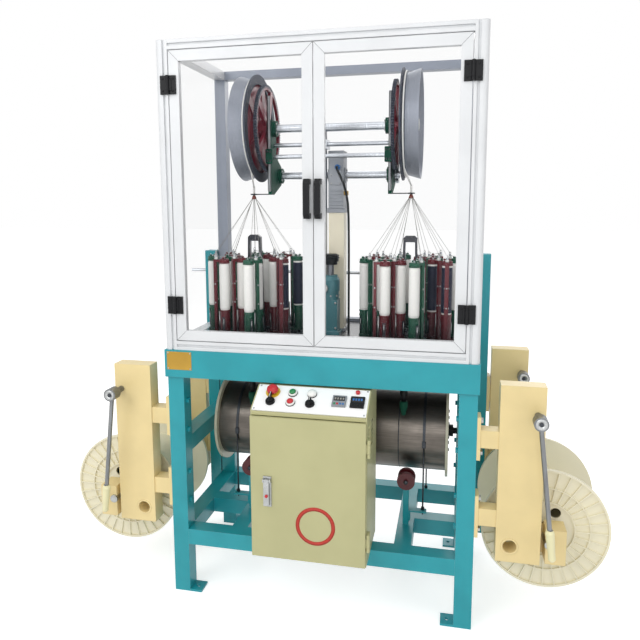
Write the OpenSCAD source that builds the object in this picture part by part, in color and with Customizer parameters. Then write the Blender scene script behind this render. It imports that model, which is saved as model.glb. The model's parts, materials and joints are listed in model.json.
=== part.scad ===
// Two-head cable braiding machine with side pay-off spools, in millimetres.
// X runs to the right, Y to the back and Z up.
// The origin is on the floor, in the middle of the four feet.

/* [Table] */
// Width over the apron
table_w = 1100; // [1090:5:1200]
// Depth over the apron
table_d = 600; // [590:5:680]
// Height of the apron's top edge above the floor
table_h = 935; // [900:5:980]
// Height of the apron
apron_h = 100; // [96:1:120]
// Thickness of the apron's boards
apron_t = 60; // [50:1:60]
// Side of a square leg
leg_s = 60; // [52:1:66]
// Step from the apron's end to the leg's outer face
leg_inset_x = 5; // [2:1:10]
// Step from the apron's front to the leg's front face
leg_inset_y = 12; // [4:1:20]
// Free length of the foot plate on the inner side of a leg
foot_ext = 45; // [40:1:60]
// Thickness of the foot plate
foot_t = 8; // [6:1:12]
// Diameter of the anchor hole in each foot plate
anchor_d = 14; // [11:0.5:18]
// Height of the lower rails
rail_s = 60; // [50:1:66]
// Height of the lower rails' underside
rail_z = 190; // [160:5:200]
// Distance of the two fore-and-aft rails from the middle
inner_rail_x = 303; // [290:1:320]

/* [Braiding heads] */
// Gear module of the horn gear train
gear_m = 2.5; // [2.3:0.1:2.5]
// Teeth of a horn gear
horn_teeth = 38; // [36:2:38]
// Teeth of the central drive gear
drive_teeth = 102; // [98:2:102]
// Width of the gears
gear_t = 15; // [10:1:18]
// Play between meshing flanks
backlash = 0.6; // [0.5:0.05:0.8]
// Thickness of the bed plate
bed_t = 22; // [16:1:26]
// Width of the carrier track cut through the bed
track_w = 14; // [12:0.5:16]
// Diameter of the foot pin of a carrier
foot_pin_d = 8; // [6:0.5:9]
// Diameter of the stud under each horn gear
stud_d = 16; // [12:1:20]
// Diameter of a bobbin
bobbin_d = 37; // [30:0.5:38]
// Length of a bobbin
bobbin_h = 174; // [140:1:190]
// Height of a carrier's lower casing
casing_h = 90; // [70:1:100]
// Height of the arch in the middle of a head
arch_h = 376; // [330:2:400]
// Width over the arch at its feet
arch_w = 66; // [54:1:68]
// Width over the arch at its top
arch_top_w = 50; // [40:1:54]

/* [Take-off] */
// Diameter of a capstan over its inner flange
capstan_d = 394; // [380:2:400]
// Width of a capstan
capstan_w = 65; // [55:1:75]
// Height of the capstan shaft
capstan_z = 1730; // [1720:2:1760]
// Diameter of the capstan shaft
capstan_shaft_d = 30; // [24:1:34]
// Height of the slow drive shaft
slow_z = 1558; // [1555:1:1562]
// Diameter of the slow drive shaft
slow_d = 28; // [22:1:32]
// Gear module of the capstan drive
capstan_m = 3; // [3:0.1:3.2]
// Play between the capstan gear's and its pinion's flanks
capstan_play = 1; // [0.9:0.05:1.2]
// Teeth of the capstan gear
capstan_teeth = 105; // [105:1:107]
// Teeth of its pinion
pinion_teeth = 20; // [20:1:22]
// Distance of the bracket plates from the middle
bracket_x = 225; // [215:1:230]
// Thickness of a bracket plate
bracket_t = 14; // [10:1:18]
// Side of the square column under the gearbox
column_s = 60; // [50:1:66]
// Height of the gearbox
gearbox_h = 214; // [200:2:230]
// Diameter of the braid guide ring
ring_d = 18; // [14:1:24]

/* [Enclosure] */
// Height of the enclosure's top
enclosure_z = 2000; // [1970:5:2060]
// Step from the apron to the enclosure's faces
enclosure_inset = 3; // [1:1:5]
// Side of a corner post
post_s = 45; // [40:1:48]
// Height of the frame rails
frame_rail_h = 33; // [28:1:40]
// Width of a door's frame members
stile_w = 36; // [30:1:44]
// Thickness of a door's frame
door_t = 20; // [16:1:25]
// Thickness of the clear sheets
pane_t = 4; // [3:0.5:6]
// Gap round each door
door_gap = 3; // [2:0.5:5]
// Length of a door handle
handle_h = 130; // [110:2:150]

/* [Control cabinet] */
// Width of the cabinet
cabinet_w = 394; // [380:2:410]
// Gap between the apron and the back edge of the sloped panel
panel_gap = 7; // [4:1:15]
// Fall of the sloped panel from its back edge to its front edge
panel_fall = 58; // [50:1:66]
// Forward reach of the cabinet in front of the apron
cabinet_out = 100; // [90:2:120]
// Depth of the cabinet
cabinet_d = 250; // [220:5:260]
// Thickness of the cabinet's sheet walls
sheet_t = 4; // [3:0.5:5]
// Thickness of the cabinet door
cabinet_door_t = 12; // [10:1:16]
// Diameter of the panel holes
panel_hole_d = 22; // [20:0.5:24]

/* [Pay-off stands] */
// Distance of a stand arm's middle from the apron's end
arm_out = 136; // [130:1:150]
// Width of a stand arm
arm_w = 142; // [130:1:150]
// Depth of a stand arm
arm_d = 60; // [50:1:66]
// Height of the arm's lower end
arm_z0 = 265; // [255:1:275]
// Height of the arm's upper end
arm_z1 = 870; // [850:5:900]
// Distance of the cradle's pivot inside the arm's middle
pivot_in = 26; // [20:1:30]
// Height of the cradle's pivot
pivot_z = 320; // [315:1:325]
// Diameter of the pivot hole in the arm
pivot_d = 58; // [50:1:62]
// Diameter of a spool's flanges
spool_d = 424; // [400:2:440]
// Width over a spool
spool_w = 320; // [280:5:330]
// Diameter of a spool's barrel
barrel_d = 220; // [200:2:240]
// Number of ribs on a flange
rib_count = 32; // [24:4:36]
// Diameter of the spool spindle
spindle_d = 30; // [24:1:34]
// Length of a hand lever from its hub to the grip's end
lever_l = 457; // [420:1:480]
// Lean of a hand lever, outwards from plumb
lever_lean = 6.6; // [4:0.2:9]

/* [Take-up drum and guides] */
// Diameter of the drum's barrel
drum_d = 306; // [280:2:320]
// Diameter of the drum's end discs
drum_flange_d = 352; // [340:2:364]
// Height of the drum's axle
drum_z = 568; // [560:1:590]
// Distance of the drum's axle behind the middle
drum_y = 90; // [80:1:100]
// Diameter of the drum's axle
axle_d = 24; // [20:1:28]
// Diameter of a guide roller
roller_d = 66; // [54:1:68]
// Height of the guide rollers' shaft
roller_z = 426; // [410:1:428]

/* [Hidden] */
$fn = 64;
HORNS = 8;
SIDES = [-1, 1];
SIDE_NAMES = ["left", "right"];
running = 0.05;
seat = 0.1;

TEAL = "#2EA3B0";
CREAM = "#E8D3A0";
OLIVE = "#BDBB8B";
PALE = "#ECECEA";
STEEL = "#9A9EA3";
DARK = "#23252B";
GREEN = "#1E5A4A";
RED = "#8B2A35";

// Table
half_w = table_w / 2;
half_d = table_d / 2;
apron_z = table_h - apron_h;
leg_x1 = half_w - leg_inset_x;
leg_x0 = leg_x1 - leg_s;
leg_y1 = half_d - leg_inset_y;
leg_y0 = leg_y1 - leg_s;
leg_y = (leg_y0 + leg_y1) / 2;
foot_hole_x = leg_x0 - foot_ext / 2;
upright_w = 50;
upright_x = half_w + upright_w;
upright_z0 = 80;
upright_z1 = 1250;
rear_bar_d = 14;
rear_bar_z = 1157;
rear_bar_reach = 95;

// Gear train
horn_r = gear_m * horn_teeth / 2;
drive_r = gear_m * drive_teeth / 2;
ring_r = horn_r / sin(180 / HORNS);
head_x = ring_r + horn_r + drive_r;
addendum = 0.8;
dedendum = 1.1;
flank = 20;
deck_t = 12;
deck_z = apron_z + 10;
gear_z = deck_z + 38;
bed_z = table_h + bed_t;
hub_d = 48;
hub_rise = 12;
hub_stand = deck_z + deck_t + 2;
horn_bar_w = 16;
horn_boss_d = 30;
horn_bar_t = 9;
horn_bar_z = gear_z + gear_t + hub_rise;
drive_shaft_d = 26;
drive_hub_d = 96;

// Carriers
carrier_lead = 45;
carrier_lift = 3;
carrier_z = bed_z + carrier_lift;
carrier_base_d = 54;
carrier_base_t = 8;
casing_d = 36;
casing_rim_d = 40;
casing_rim_t = 5;
bobbin_off = 10;
bobbin_chamfer = [2, 6];
bobbin_cap_d = 38;
post_off = 25;
post_w = 10;
post_t = 14;
bobbin_z = carrier_z + carrier_base_t + casing_h;
cap_gap = 6;
cap_t = 9;
cap_z = bobbin_z + bobbin_h + cap_gap;
eyelet_d = 9;
eyelet_h = 16;
eye_z = cap_z + cap_t + eyelet_h;
strand_d = 1.4;
strand_lift = 1;
strand_knot_r = 4.5;

// Take-off
bracket_z0 = 1485;
slow_y = sqrt(pow(capstan_m * (capstan_teeth + pinion_teeth) / 2, 2)
    - pow(capstan_z - slow_z, 2));
capstan_r = capstan_d / 2;
capstan_x = head_x;
capstan_gear_t = 12;
capstan_gear_x = bracket_x + bracket_t / 2 + 4;
slow_x = capstan_gear_x + capstan_gear_t + 4;
capstan_hub_d = 70;
spokes = 5;
guide_z = 1487;
column_x = 14;
gearbox_z = slow_z - 124;
gearbox_w = column_s - 2;
gearbox_d = 80;
motor_d = 70;
motor_s = 62;
motor_band = [1088, 1121];
motor_z1 = 1182;
hand_wheel_d = 62;
hand_wheel_z = 1222;
hand_wheel_t = 40;
stand_post_d = 25;
stand_post_x = -34;
stand_post_y = slow_y - 30;
stand_post_z1 = capstan_z + 15;
tie_d = 16;
tie_front = [15, capstan_z - 60];
tie_low = [-22, capstan_z - 105];

// Enclosure
enc_x = half_w - enclosure_inset;
enc_y = half_d - enclosure_inset;
door_y0 = -enc_y;
door_x1 = enc_x - post_s - door_gap;
door_z0 = table_h + frame_rail_h + door_gap;
door_z1 = enclosure_z - frame_rail_h - door_gap;
hinge_x = door_x1 + door_gap / 2;
hinge_out = 8;
hinge_y = door_y0 - hinge_out;
hinge_h = 62;
hinge_leaf = 28;
hinge_pin_d = 6;
hinge_barrel_d = 13;
hinge_lug_h = 12;
hinge_low = 127;
hinge_high = 113;
hinge_z = [door_z0 + hinge_low, door_z1 - hinge_high];
handle_z = (door_z0 + door_z1) / 2;
corner_r = 16;
slot_w = 8;
slot_deep = 6;
rail_d = post_s * 0.6;

// Cabinet
panel_back_z = apron_z - panel_gap;
panel_front_z = panel_back_z - panel_fall;
cab_x = cabinet_w / 2;
cab_y0 = -half_d - cabinet_out;
cab_y1 = cab_y0 + cabinet_d;
cab_z0 = rail_z + rail_s;
panel_run = cabinet_out;
panel_tilt = atan((panel_back_z - panel_front_z) / panel_run);
panel_len = sqrt(pow(panel_run, 2) + pow(panel_back_z - panel_front_z, 2));
panel_lip = 18;
door_top = panel_front_z - panel_lip;
cab_hinge_x = cab_x + 4;
cab_hinge_y = cab_y0 - cabinet_door_t / 2;
cab_hinge_pin_d = 6;
cab_hinge_barrel_d = 11;
cab_hinge_h = 60;
cab_hinge_low = 90;
cab_hinge_high = 87;
cab_hinge_z = [cab_z0 + cab_hinge_low, door_top - cab_hinge_high];
panel_rows = [0.34, 0.71];
row_2 = panel_rows[0] * panel_len;
row_1 = panel_rows[1] * panel_len;
columns = [-137, -67, 0];
bezel_d = 30;
bezel_h = 6;
button_d = panel_hole_d - 2 * running;
button_rise = 11;
stop_ring_d = 50;
mushroom_d = 38;
mushroom_h = 14;
meter_s = 46;
meter_x = [97, 158];
latch_x = -137;
latch_drop = 8;
latch_z = (cab_z0 + door_top) / 2 - latch_drop;
latch_h = 106;

// Pay-off stands
arm_x = half_w + arm_out;
front_arm_y = -half_d + 10;
rear_arm_y = half_d - 10 - arm_d;
arm_x0 = arm_x - arm_w / 2;
arm_x1 = arm_x + arm_w / 2;
pivot_x = arm_x - pivot_in;
arm_ys = [front_arm_y, rear_arm_y];
stub_s = 60;
stub_drops = [424, 153];
stub_zs = [for (d = stub_drops) apron_z - d];
plate_t = 12;
plate_h = 146;
bolt_head_d = 20;
bolt_head_t = 8;
bolt_off = 55;
foot_gap = 16;
foot_w = 64;
foot_z0 = 273;
foot_z1 = 391;
strap_t = 12;
strap_gap = 0.6;
boss_wall = 7;
spool_x = arm_x1 + foot_gap + 10;
spool_z = 342;
spool_y0 = -190;
spool_y1 = spool_y0 + spool_w;
flange_t = 6;
rib_h = 8;
rib_w = 4;
rim_w = 7;
hub_disc_d = 200;
mid_ring_d = 300;
drive_hole_d = 36;
drive_hole_r = 67;
barrel_wall = 6;
spindle_end = 6;
lever_x = arm_x1 - 25;
lever_z = 776;
lever_hub_d = 45;
lever_hub_l = 40;
lever_out = 46;
lever_rod_d = 15;
grip_d = 29;
grip_l = 105;
lever_pin_d = 22;
lever_clear = 25;

// Drum and guides
drum_half = leg_x0 - 32;
drum_disc_t = 10;
axle_end = 16;
collar_d = 46;
collar_t = 18;
mid_rail_z = drum_z - rail_s / 2;
guide_post_s = 22;
guide_shaft_d = 10;
guide_y = -72;
roller_t = 16;
roller_gap = 0.5;
roller_groove = 12;

function horn_angle(side, i) = (side < 0 ? 0 : 180) + 360 / HORNS * i;
function horn_axis(side, i) = [
    side * head_x + ring_r * cos(horn_angle(side, i)),
    ring_r * sin(horn_angle(side, i))];
// A carrier's angle on its horn gear, from the outward direction of the ring
function carrier_angle(n) = carrier_lead + 180 * n;
// Neighbouring horn gears run in opposite directions
function runs(i) = i % 2 == 0 ? -1 : 1;
function carrier_axis(side, i, n) = horn_axis(side, i) + horn_r * [
    cos(horn_angle(side, i) + carrier_angle(n)),
    sin(horn_angle(side, i) + carrier_angle(n))];

// Shared shapes

module span(x, y, z) {
    translate([x[0], y[0], z[0]])
        cube([x[1] - x[0], y[1] - y[0], z[1] - z[0]]);
}

module rod_x(d, x, y, z) {
    translate([x[0], y, z])
        rotate([0, 90, 0])
            cylinder(d = d, h = x[1] - x[0]);
}

module rod_y(d, x, y, z) {
    translate([x, y[1], z])
        rotate([90, 0, 0])
            cylinder(d = d, h = y[1] - y[0]);
}

module rod_z(d, x, y, z) {
    translate([x, y, z[0]])
        cylinder(d = d, h = z[1] - z[0]);
}

// Both sides of the machine from one drawn on the right
module both() {
    children();
    mirror([1, 0, 0])
        children();
}

module four() {
    both() {
        children();
        mirror([0, 1, 0])
            children();
    }
}

module on_side(side) {
    if (side > 0)
        children();
    else
        mirror([1, 0, 0])
            children();
}

// Straight-flanked gear outline, one tooth centred on the angle phase
function tooth(m, n, c, play) = let (
    r = m * n / 2,
    half = PI * m / 4 - play / 4,
    tip = r + addendum * m,
    root = r - dedendum * m,
    tip_a = (half - addendum * m * tan(flank)) / tip * 180 / PI,
    root_a = (half + dedendum * m * tan(flank)) / root * 180 / PI)
    [for (p = [[root, -root_a], [tip, -tip_a], [tip, tip_a], [root, root_a]])
        p[0] * [cos(c + p[1]), sin(c + p[1])]];

module gear_outline(m, n, phase, play) {
    polygon([for (i = [0:n - 1]) each tooth(m, n, phase + 360 / n * i, play)]);
}

// A circle drawn with flats, so that a toothed rim has flat faces only
module flats(r, n) {
    polygon([for (i = [0:n - 1]) r * [cos(360 / n * (i + 0.5)), sin(360 / n * (i + 0.5))]]);
}

module panel_frame(x, along) {
    translate([x, cab_y0, panel_front_z])
        rotate([panel_tilt, 0, 0])
            translate([0, along, 0])
                children();
}

// Table

module legs() {
    color(TEAL)
        four() {
            span([leg_x0, leg_x1], [leg_y0, leg_y1], [foot_t, apron_z]);
            difference() {
                span([leg_x0 - foot_ext, leg_x1], [leg_y0, leg_y1], [0, foot_t]);
                rod_z(anchor_d, foot_hole_x, leg_y, [-1, foot_t + 1]);
            }
        }
}

module guide_post() {
    span([inner_rail_x - guide_post_s / 2, inner_rail_x + guide_post_s / 2],
        [guide_y - guide_post_s / 2, guide_y + guide_post_s / 2],
        [rail_z + rail_s + seat, roller_z + guide_post_s / 2]);
    rod_y(guide_shaft_d, inner_rail_x,
        [guide_y - guide_post_s / 2 - roller_t - 6, guide_y - guide_post_s / 2], roller_z);
    rod_y(guide_shaft_d, inner_rail_x,
        [guide_y + guide_post_s / 2, guide_y + guide_post_s / 2 + roller_t + 6], roller_z);
}

module lower_rails() {
    z = [rail_z, rail_z + rail_s];
    mid_z = [mid_rail_z, mid_rail_z + rail_s];
    long_y = [-leg_y0 + seat, leg_y0 - seat];
    inner_x = [inner_rail_x - rail_s / 2, inner_rail_x + rail_s / 2];
    color(TEAL) {
        for (s = SIDES)
            span([-leg_x0, leg_x0], s > 0 ? [leg_y0, leg_y1] : [-leg_y1, -leg_y0], z);
        both() {
            span([leg_x0, leg_x1], long_y, z);
            span(inner_x, long_y, z);
            span([inner_x[1] + seat, leg_x0 - seat], [-rail_s / 2, rail_s / 2], z);
            difference() {
                span([leg_x0, leg_x1], long_y, mid_z);
                rod_x(axle_d + 2 * running, [leg_x0 - 1, leg_x0 + axle_end + 2], drum_y, drum_z);
            }
            guide_post();
        }
    }
}

module rear_uprights() {
    clamp_h = 34;
    clamp_wall = 5;
    bar_y = enc_y + rear_bar_d / 2 + seat;
    color(TEAL)
        both() {
            span([half_w, upright_x], [leg_y0, leg_y1], [upright_z0, upright_z1]);
            difference() {
                span([half_w, upright_x], [leg_y1 + seat, bar_y + rear_bar_d / 2 + clamp_wall],
                    [rear_bar_z - clamp_h / 2, rear_bar_z + clamp_h / 2]);
                rod_x(rear_bar_d + 2 * seat, [half_w - 1, upright_x + 1], bar_y, rear_bar_z);
            }
        }
    color(STEEL)
        rod_x(rear_bar_d, [-upright_x - rear_bar_reach, upright_x], bar_y, rear_bar_z);
}

module apron() {
    z = [apron_z, table_h];
    color(TEAL) {
        span([-half_w, half_w], [-half_d, -half_d + apron_t], z);
        span([-half_w, half_w], [half_d - apron_t, half_d], z);
        both()
            span([half_w - apron_t, half_w], [-half_d + apron_t, half_d - apron_t], z);
    }
}

// Gear train under the bed

module gear_deck() {
    color(STEEL) {
        difference() {
            span([-half_w + apron_t, half_w - apron_t], [-half_d + apron_t, half_d - apron_t],
                [deck_z, deck_z + deck_t]);
            rod_z(drive_shaft_d + 2 * running, 0, 0, [deck_z - 1, deck_z + deck_t + 1]);
        }
        for (side = SIDES) {
            for (i = [0:HORNS - 1])
                translate(horn_axis(side, i))
                    rod_z(stud_d, 0, 0, [deck_z + deck_t + seat, table_h]);
            rod_z(arch_w, side * head_x, 0, [deck_z + deck_t + seat, table_h]);
        }
    }
}

module bed_plate() {
    x = half_w - enclosure_inset - post_s - 0.5;
    y = half_d - enclosure_inset - post_s - 0.5;
    color(DARK)
        translate([0, 0, table_h])
            linear_extrude(bed_t)
                difference() {
                    square([2 * x, 2 * y], center = true);
                    circle(d = drive_shaft_d + 4);
                    for (side = SIDES)
                        for (i = [0:HORNS - 1])
                            translate(horn_axis(side, i))
                                difference() {
                                    circle(r = horn_r + track_w / 2);
                                    circle(r = horn_r - track_w / 2);
                                }
                }
}

// A carrier, drawn with its way of travel along +X and its post trailing
module carrier_body() {
    rod_z(foot_pin_d, 0, 0, [horn_bar_z + horn_bar_t + seat, carrier_z]);
    rod_z(carrier_base_d, 0, 0, [carrier_z, carrier_z + carrier_base_t]);
    rod_z(casing_d, bobbin_off, 0, [carrier_z + carrier_base_t, bobbin_z]);
    rod_z(casing_rim_d, bobbin_off, 0, [bobbin_z - casing_rim_t, bobbin_z]);
    span([-post_off - post_w / 2, -post_off + post_w / 2], [-post_t / 2, post_t / 2],
        [carrier_z + carrier_base_t / 2, cap_z + cap_t]);
    span([-post_off + post_w / 2, bobbin_off], [-post_t / 2, post_t / 2],
        [cap_z, cap_z + cap_t]);
    rod_z(bobbin_cap_d, bobbin_off, 0, [cap_z, cap_z + cap_t]);
    rod_z(eyelet_d, -post_off + eyelet_d / 2, 0, [cap_z + cap_t, eye_z]);
    rod_z(eyelet_d, bobbin_off, 0, [cap_z + cap_t, eye_z - eyelet_h / 2]);
}

module bobbin() {
    r = bobbin_d / 2;
    h = bobbin_h - seat;
    translate([bobbin_off, 0, bobbin_z + seat])
        rotate_extrude()
            polygon([[0, 0], [r - bobbin_chamfer[0], 0], [r, bobbin_chamfer[1]],
                [r, h - bobbin_chamfer[1]], [r - bobbin_chamfer[0], h], [0, h]]);
}

// One horn gear with its horn bar and the two carriers it drives
module horn_unit(side, i) {
    phase = i % 2 == 0 ? 0 : 180 / horn_teeth;
    hub_z = [hub_stand, horn_bar_z];
    reach = horn_r + horn_bar_w / 2;
    translate(horn_axis(side, i))
        rotate([0, 0, horn_angle(side, i)]) {
            color(STEEL) {
                translate([0, 0, gear_z])
                    linear_extrude(gear_t)
                        difference() {
                            gear_outline(gear_m, horn_teeth, phase, backlash);
                            circle(d = hub_d + 2 * seat, $fn = 12);
                        }
                difference() {
                    union() {
                        translate([0, 0, hub_z[0]])
                            cylinder(d = hub_d, h = hub_z[1] - hub_z[0] - seat, $fn = 12);
                        rotate([0, 0, carrier_angle(0)])
                            span([-reach, reach], [-horn_bar_w / 2, horn_bar_w / 2],
                                [horn_bar_z, horn_bar_z + horn_bar_t]);
                        rod_z(horn_boss_d, 0, 0, [horn_bar_z, horn_bar_z + horn_bar_t]);
                    }
                    rod_z(stud_d + 2 * running, 0, 0, [hub_z[0] - 1, horn_bar_z + horn_bar_t + 1]);
                }
            }
            for (n = [0, 1])
                rotate([0, 0, carrier_angle(n)])
                    translate([horn_r, 0, 0])
                        rotate([0, 0, 90 * runs(i)]) {
                            color((i + n) % 2 == 1 ? RED : GREEN)
                                carrier_body();
                            color("white")
                                bobbin();
                        }
        }
}

module drive_gear() {
    color(STEEL) {
        translate([0, 0, gear_z])
            linear_extrude(gear_t)
                difference() {
                    gear_outline(gear_m, drive_teeth, 180 / drive_teeth, backlash);
                    circle(d = drive_hub_d + 2 * seat, $fn = 12);
                }
        translate([0, 0, hub_stand])
            cylinder(d = drive_hub_d, h = gear_z + gear_t - hub_stand, $fn = 12);
        rod_z(drive_shaft_d, 0, 0, [deck_z, hub_stand]);
        rod_z(drive_shaft_d, 0, 0, [gear_z + gear_t, hand_wheel_z]);
    }
}

module hand_wheel() {
    rim = 6;
    color(DARK)
        translate([0, 0, hand_wheel_z])
            rotate_extrude()
                polygon([[0, 0], [drive_shaft_d, 0], [drive_shaft_d, 12], [hand_wheel_d / 2, 12],
                    [hand_wheel_d / 2, hand_wheel_t - rim], [hand_wheel_d / 2 - rim, hand_wheel_t],
                    [0, hand_wheel_t]]);
}

// Square gear housing, a round speed changer above it and its dial
module motor() {
    neck_d = 54;
    neck_h = 6;
    shoulder = 12;
    band_d = 64;
    foot_x = 40;
    foot_y = [-40, 22];
    foot_h = 12;
    dial_d = 34;
    dial_x = -20;
    dial_z = 1135;
    dial_out = 5;
    color("#4A7F86")
        difference() {
            union() {
                span([-foot_x, foot_x], foot_y, [bed_z, bed_z + foot_h]);
                span([-motor_s / 2, motor_s / 2], [-motor_s / 2, motor_s / 2],
                    [bed_z + foot_h, motor_band[0]]);
                rotate_extrude()
                    polygon([[0, motor_band[0]], [band_d / 2, motor_band[0]], [band_d / 2, motor_band[1]],
                        [motor_d / 2, motor_band[1]], [motor_d / 2, motor_z1 - neck_h - shoulder],
                        [neck_d / 2, motor_z1 - neck_h], [neck_d / 2, motor_z1], [0, motor_z1]]);
                rod_y(dial_d, dial_x, [-motor_d / 2 - dial_out, 0], dial_z);
            }
            rod_z(drive_shaft_d + 2 * running, 0, 0, [bed_z - 1, motor_z1 + 1]);
        }
}

// Take-off drive

module column() {
    foot_t = 10;
    foot_back = 45;
    head_t = 18;
    lip = 4;
    r = column_s / 2;
    color(STEEL)
        span([column_x - r - lip, column_x + r + lip], [slow_y - r - lip, slow_y + foot_back],
            [bed_z, bed_z + foot_t]);
    color(CREAM) {
        span([column_x - r, column_x + r], [slow_y - r, slow_y + r],
            [bed_z + foot_t + seat, gearbox_z - head_t - seat]);
        span([column_x - r - lip, column_x + r + lip], [slow_y - r - lip, slow_y + r + lip],
            [gearbox_z - head_t, gearbox_z]);
    }
}

module gearbox() {
    gland_d = 20;
    knob_d = 18;
    knob_l = 16;
    knob_z = gearbox_z + 56;
    color("#8A8F98")
        difference() {
            span([column_x - gearbox_w / 2, column_x + gearbox_w / 2],
                [slow_y - gearbox_d / 2, slow_y + gearbox_d / 2],
                [gearbox_z, gearbox_z + gearbox_h]);
            rod_x(slow_d + 2 * running, [column_x - gearbox_w, column_x + gearbox_w], slow_y, slow_z);
        }
    color("#2C6FB5")
        rod_y(gland_d, cable_route[0][0], [cable_route[0][1], slow_y - gearbox_d / 2], cable_route[0][2]);
    color("#B08D3C")
        rod_x(knob_d, [column_x + gearbox_w / 2, column_x + gearbox_w / 2 + knob_l], slow_y - 22, knob_z);
}

// Cable from the gearbox's gland to the bed beside the column
cable_d = 9;
cable_route = [[22, 20, 1586], [22, 6, 1586], [24, -8, 1583], [30, -18, 1572], [40, -20, 1552],
    [52, -14, 1524], [60, -2, 1490], [64, 12, 1450], [65, 22, 1400], [65, 27, 1340],
    [65, 30, 1280], [65, 31, 1220], [65, 31, 1160], [65, 31, 1100], [65, 31, 1040], [65, 31, 957]];

function unit(v) = v / norm(v);
function route_dir(p, i) = unit(p[min(i + 1, len(p) - 1)] - p[max(i - 1, 0)]);

// A closed tube along a route that stays out of line with X
module tube(p, d, sides) {
    n = len(p);
    rings = [for (i = [0:n - 1]) let (
        t = i == n - 1 ? [0, 0, -1] : i == 0 ? [0, -1, 0] : route_dir(p, i),
        u = unit(cross(t, [1, 0, 0])),
        v = cross(t, u))
        for (k = [0:sides - 1])
            p[i] + d / 2 * (u * cos(360 / sides * k) + v * sin(360 / sides * k))];
    walls = [for (i = [0:n - 2]) for (k = [0:sides - 1]) let (
        a = i * sides + k,
        b = i * sides + (k + 1) % sides)
        [a, a + sides, b + sides, b]];
    polyhedron(rings, concat(walls,
        [[for (k = [0:sides - 1]) k]],
        [[for (k = [sides - 1:-1:0]) (n - 1) * sides + k]]));
}

module gearbox_cable() {
    color(DARK)
        tube(cable_route, cable_d, 10);
}

module stand_post() {
    clamp_s = 40;
    clamp_h = 34;
    color(STEEL) {
        rod_z(stand_post_d, stand_post_x, stand_post_y, [bed_z, stand_post_z1]);
        difference() {
            span([stand_post_x - clamp_s / 2, stand_post_x + clamp_s / 2],
                [tie_front[0] - clamp_s / 2, stand_post_y + clamp_s / 2],
                [tie_front[1] - clamp_h / 2, tie_front[1] + clamp_h / 2]);
            rod_z(stand_post_d + 2 * seat, stand_post_x, stand_post_y, [bed_z, stand_post_z1]);
            rod_x(tie_d, [-bracket_x, bracket_x], tie_front[0], tie_front[1]);
        }
    }
}

module slow_shaft() {
    color(STEEL) {
        rod_x(slow_d, [-slow_x, slow_x], slow_y, slow_z);
        both()
            translate([capstan_gear_x, slow_y, slow_z])
                rotate([90, 0, 90])
                    linear_extrude(capstan_gear_t)
                        difference() {
                            gear_outline(capstan_m, pinion_teeth, mesh_a + 180, capstan_play);
                            flats(bore_r(slow_d), 24);
                        }
    }
}

// Corner radius of a flat-sided bore that clears a round shaft
function bore_r(d) = (d / 2 + seat) / cos(180 / 24);

// Direction from the capstan shaft to the slow shaft, from +Y towards +Z
mesh_a = atan2(capstan_z - slow_z, -slow_y) + 180;

module capstan_rim() {
    r = capstan_r;
    w = capstan_w;
    rotate_extrude()
        polygon([[r - 34, 0], [r, 0], [r, 5], [r - 13, 8], [r - 13, 16], [r - 19, 19],
            [r - 5, w], [r - 12, w], [r - 30, 19], [r - 34, 14]]);
}

module capstan() {
    web_t = 10;
    spoke_w = 34;
    difference() {
        union() {
            color(PALE)
                capstan_rim();
            color(RED) {
                cylinder(d = capstan_hub_d, h = capstan_w * 0.7);
                for (i = [0:spokes - 1])
                    rotate([0, 0, 360 / spokes * i])
                        translate([capstan_hub_d / 2 - 4, -spoke_w / 2, 2])
                            cube([capstan_r - capstan_hub_d / 2 - 28, spoke_w, web_t]);
            }
        }
        translate([0, 0, -1])
            cylinder(d = capstan_shaft_d, h = capstan_w + 2);
    }
}

module capstan_gear() {
    rim_w = 16;
    arm_w = 26;
    inner_r = capstan_m * capstan_teeth / 2 - rim_w;
    linear_extrude(capstan_gear_t)
        difference() {
            union() {
                difference() {
                    gear_outline(capstan_m, capstan_teeth, mesh_a + 180 / capstan_teeth, capstan_play);
                    flats(inner_r, 72);
                }
                flats(capstan_hub_d / 2, 36);
                for (i = [0:spokes - 1])
                    rotate(360 / spokes * i)
                        translate([0, -arm_w / 2])
                            square([inner_r + 2, arm_w]);
            }
            flats(bore_r(capstan_shaft_d), 24);
        }
}

module capstans() {
    inner = capstan_x - capstan_w / 2;
    color(STEEL)
        rod_x(capstan_shaft_d, [-inner - capstan_w * 0.7 - 8, inner + capstan_w * 0.7 + 8], 0, capstan_z);
    both() {
        translate([inner, 0, capstan_z])
            rotate([90, 0, 90])
                capstan();
        color(RED)
            translate([capstan_gear_x, 0, capstan_z])
                rotate([90, 0, 90])
                    capstan_gear();
        color(RED)
            translate([capstan_gear_x + capstan_gear_t + seat, 0, capstan_z])
                rotate([90, 0, 90])
                    difference() {
                        cylinder(d = capstan_hub_d, h = inner - capstan_gear_x - capstan_gear_t - seat);
                        translate([0, 0, -1])
                            cylinder(d = capstan_shaft_d, h = capstan_w);
                    }
    }
}

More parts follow.
